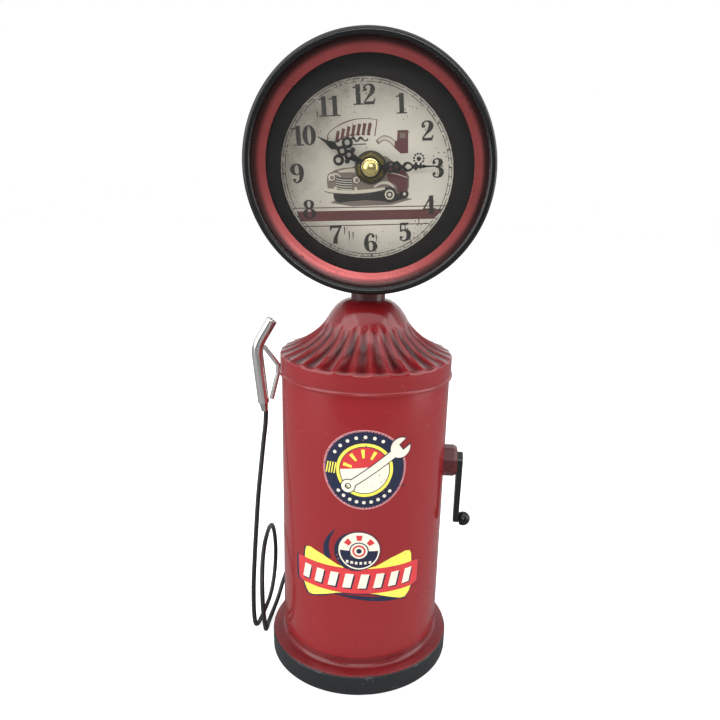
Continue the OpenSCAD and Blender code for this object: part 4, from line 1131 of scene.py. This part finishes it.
# Movement. A bought-in battery movement in a moulded black box: cover, cell, contacts, board, coil,
# gears and setting knob. It is seen from behind through the opening in the rear cover.
case_black = finish("case_black", (28, 28, 30), 0.5, cloudy=(60.0, 0.06), grain=(1500.0, 0.35))
back_black = finish("back_black", (30, 31, 33), 0.45, cloudy=(40.0, 0.1), grain=(1100.0, 0.3),
    speck=((90, 88, 84), 420.0, 0.12))
gear_white = finish("gear_white", (222, 218, 206), 0.45, cloudy=(150.0, 0.05), grain=(1600.0, 0.15))
for part, look in {
        "movement_case": case_black, "movement_cover": case_black, "rear_cover": back_black,
        "rear_screws": steel, "battery_contacts": nickel, "stator": steel,
        "rotor": finish("magnet_grey", (70, 70, 72), 0.4, metal=0.5, grain=(1800.0, 0.2)),
        "circuit_board": finish("board_green", (24, 78, 52), 0.4, coat=0.4, grain=(1400.0, 0.15)),
        "coil": finish("coil_copper", (176, 96, 52), 0.3, metal=0.9, grain=(4000.0, 0.5)),
        "cannon_pinion": aged_brass, "minute_wheel": gear_white, "hour_wheel": gear_white,
        "setting_knob": finish("knob_black", (44, 44, 46), 0.42, grain=(1500.0, 0.3))}.items():
    dress(part, look)

# Cell. One AA cell lies in the bay of the movement: a steel can in a shrunk green sleeve, with a pale
# band printed round one end, a nub at that end and a bare flat cup at the other.
cell_low, cell_high = (Vector(corner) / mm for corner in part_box("battery"))
cell_middle = (cell_low + cell_high) / 2
cell_radius = (cell_high.z - cell_low.z) / 2
cell_half = (cell_high.x - cell_low.x) / 2
CELL = Matrix.Translation(cell_middle) @ Matrix.Rotation(math.radians(90), 4, "Y")
wrap_green = finish("wrap_green", (34, 84, 62), 0.26, coat=0.4, cloudy=(80.0, 0.06), grain=(900.0, 0.08))
wrap_band = finish("wrap_band", (206, 200, 180), 0.3, coat=0.4, cloudy=(80.0, 0.06), grain=(900.0, 0.08))
sleeve_in, band_from, band_to, film = cell_radius - 0.9, cell_half - 15, cell_half - 3.4, 0.03
can = soften([(0, 0.3 - cell_half), (sleeve_in, 0.3 - cell_half), (sleeve_in, 0.9 - cell_half),
    (cell_radius - film, 0.9 - cell_half), (cell_radius - film, cell_half - 2.0),
    (sleeve_in, cell_half - 2.0), (sleeve_in, cell_half - 1.4), (2.7, cell_half - 1.4), (2.7, cell_half),
    (0, cell_half)], 0.35)
sleeve_out = cell_radius - film / 2
sleeve = [(sleeve_in - 0.3, 0.4 - cell_half), (cell_radius - 0.5, 0.4 - cell_half),
    (sleeve_out, 1.1 - cell_half), (sleeve_out, band_from), (sleeve_out, cell_half - 2.1),
    (cell_radius - 0.5, cell_half - 1.6), (sleeve_in - 0.3, cell_half - 1.6),
    (sleeve_in - 0.3, cell_half - 1.9), (cell_radius - 0.7, cell_half - 2.3),
    (cell_radius - 0.7, 0.8 - cell_half)]
pale_band = box_of(cell_radius - 0.3, band_from, cell_radius, band_to)
for name, outline, look in (("cell_can", can, steel), ("cell_sleeve", sleeve, wrap_green),
        ("cell_band", pale_band, wrap_band)):
    made = shown(name, lathe(name, outline, CELL, 64), look)
    settle(made, "clock_frame", "battery")

# Crank. An octagonal boss on the side of the body, a steel axle with its clip inside, a flat tapered
# arm hanging straight down, and a black ball knob screwed to its end.
boss_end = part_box("crank_boss")[1][0] / mm
boss_half = (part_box("crank_boss")[1][1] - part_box("crank_boss")[0][1]) / 2 / mm
arm_in, arm_out = (corner[0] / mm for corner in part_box("crank_arm"))
arm_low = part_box("crank_arm")[0][2] / mm
boss_red = finish("boss_red", (84, 20, 25), 0.3, coat=0.1, cloudy=(70.0, 0.12), grain=(700.0, 0.12),
    speck=((40, 18, 20), 300.0, 0.14), bare=((120, 80, 80), 0.26))
octagon = [on_circle(0, 0, boss_half / math.cos(math.pi / 8), 22.5 + 45 * k) for k in range(8)]
maker = bmesh.new()
layers = []
for level, scale in ((body_radius - 1.3, 1.0), (boss_end - 1.8, 1.0), (boss_end, 0.88)):
    layers.append([maker.verts.new((x * scale, y * scale, level)) for x, y in octagon])
maker.faces.new(layers[0])
maker.faces.new(layers[-1])
skin(maker, layers)
boss = shown("crank_boss_block", as_mesh(maker, "crank_boss_block", CRANK, 20), boss_red)
bore(boss, CRANK, axle_radius + 0.05, bore_from, boss_end + 2)
rounded_edges(boss, 0.35)
settle(boss, "clock_frame", "crank_boss")

arm_black = finish("arm_black", (17, 19, 21), 0.32, cloudy=(60.0, 0.1), grain=(900.0, 0.12),
    speck=((90, 88, 84), 420.0, 0.14), lines=0.012)
crank_hub, crank_tip = 4.6, 2.5
reach_down = crank_z - arm_low - 3.1
outline = [on_circle(0, 0, crank_hub, a) for a in range(85, 276, 10)]
outline += [on_circle(reach_down, 0, crank_tip, a) for a in range(-85, 86, 10)]
arm = shown("crank_lever", plate("crank_lever", [outline], [circle(0, 0, axle_radius, 48)], arm_in, arm_out,
    CRANK, sharp=30), arm_black)
rounded_edges(arm, 0.9, 4)
settle(arm, "crank", "crank_arm")

ball_radius = 3.8
ball_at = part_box("crank_knob")[1][0] / mm - ball_radius
ball_outline = [(0, arm_out), (1.9, arm_out), (2.0, arm_out + 0.4)]
start = math.degrees(math.asin(max(-0.98, (arm_out + 0.5 - ball_at) / ball_radius)))
ball_outline += [on_circle(0, ball_at, ball_radius, start + (90 - start) * k / 20) for k in range(20)]
ball_outline.append((0, ball_at + ball_radius))
BALL = CRANK @ Matrix.Translation((reach_down + 0.4, 0, 0))
ball = shown("crank_ball", lathe("crank_ball", ball_outline, BALL, 64), rim_black)
settle(ball, "crank", "crank_knob")
dress("crank_axle", steel)
dress("crank_clip", steel)

# Nozzle. A bent nickel-plated tube, open at its tip, with a thin rod brazed to it as a trigger guard;
# it hangs on the side of the body under the dome.
tube_radius, tube_bore = 2.8, 2.3
bend_radius = 16
bend_x, bend_z = -(cap_radius + 12) + bend_radius, cap_low + 7
spout_lean, low_lean = 30, 5.9
low_run, spout_run = 24.2, 10.8


def pipe(name, line, stations, place=Matrix(), sides=32):
    """A swept piece along a line of points; stations are (distance along, radius) in order."""
    lengths = [0.0]
    for a, b in zip(line, line[1:]):
        lengths.append(lengths[-1] + (b - a).length)
    maker = bmesh.new()
    rings = []
    for reach, radius in stations:
        reach = min(max(reach, 0.0), lengths[-1] - 1e-6)
        i = max(k for k in range(len(line) - 1) if lengths[k] <= reach)
        t = (reach - lengths[i]) / (lengths[i + 1] - lengths[i])
        spot = line[i].lerp(line[i + 1], t)
        one = (line[i + 1] - line[max(i - 1, 0)]).normalized()
        two = (line[min(i + 2, len(line) - 1)] - line[i]).normalized()
        way = one.lerp(two, t).normalized()
        across = way.cross(Vector((0, 1, 0))).normalized()
        up = across.cross(way)
        rings.append([maker.verts.new(spot + radius * (math.cos(math.tau * k / sides) * across
            + math.sin(math.tau * k / sides) * up)) for k in range(sides)])
    skin(maker, rings)
    maker.faces.new(rings[0])
    maker.faces.new(rings[-1])
    return as_mesh(maker, name, place)


turn = [Vector((bend_x - bend_radius * math.cos(math.radians(a)), 0,
    bend_z + bend_radius * math.sin(math.radians(a)))) for a in [-low_lean + (spout_lean + low_lean) * k
    / 20 for k in range(21)]]
tube_foot = turn[0] - low_run * Vector((-math.sin(math.radians(low_lean)), 0,
    math.cos(math.radians(low_lean))))
tube_tip = turn[-1] + spout_run * Vector((math.sin(math.radians(spout_lean)), 0,
    math.cos(math.radians(spout_lean))))
tube_line = [tube_foot] + turn + [tube_tip]
full = sum((b - a).length for a, b in zip(tube_line, tube_line[1:]))
steps = [0.0, 0.25] + [full * k / 60 for k in range(1, 60)] + [full - 0.25, full]
stations = [(s, tube_radius - (0.12 if s in (0.0, full) else 0)) for s in steps]
stations += [(full, tube_bore + 0.1), (full - 0.3, tube_bore), (full - 9, tube_bore)]
chrome = finish("nozzle_nickel", (228, 226, 224), 0.2, metal=1.0, cloudy=(60.0, 0.06), lines=0.02,
    speck=((70, 66, 62), 320.0, 0.16), grain=(600.0, 0.05))
nozzle = shown("nozzle_pipe", pipe("nozzle_pipe", tube_line, stations), chrome)
settle(nozzle, "clock_frame", "nozzle_tube")

guard_radius = 1.15
guard_x = -(cap_radius + 0.45 + guard_radius + 0.05)
foot_x = tube_foot.x + tube_radius + guard_radius * 1.2
guard_top = Vector((bend_x - bend_radius * math.cos(math.radians(14)) + tube_radius, 0,
    bend_z + bend_radius * math.sin(math.radians(14))))
knee, heel = Vector((guard_x, 0, bend_z - 5.6)), Vector((guard_x - 0.2, 0, bend_z - 9.4))
guard_foot = Vector((foot_x, 0, tube_foot.z + 2.4))
guard_line = through([guard_top, guard_top.lerp(knee, 0.35), guard_top.lerp(knee, 0.65),
    guard_top.lerp(knee, 0.94), knee, heel, heel.lerp(guard_foot, 0.1), heel.lerp(guard_foot, 0.5),
    guard_foot], 8)
rod_length = sum((b - a).length for a, b in zip(guard_line, guard_line[1:]))
guard_stations = [(rod_length * k / 90, guard_radius) for k in range(91)]
guard = shown("guard_rod", pipe("guard_rod", guard_line, guard_stations, sides=20), chrome)
settle(guard, "clock_frame", "trigger_guard")
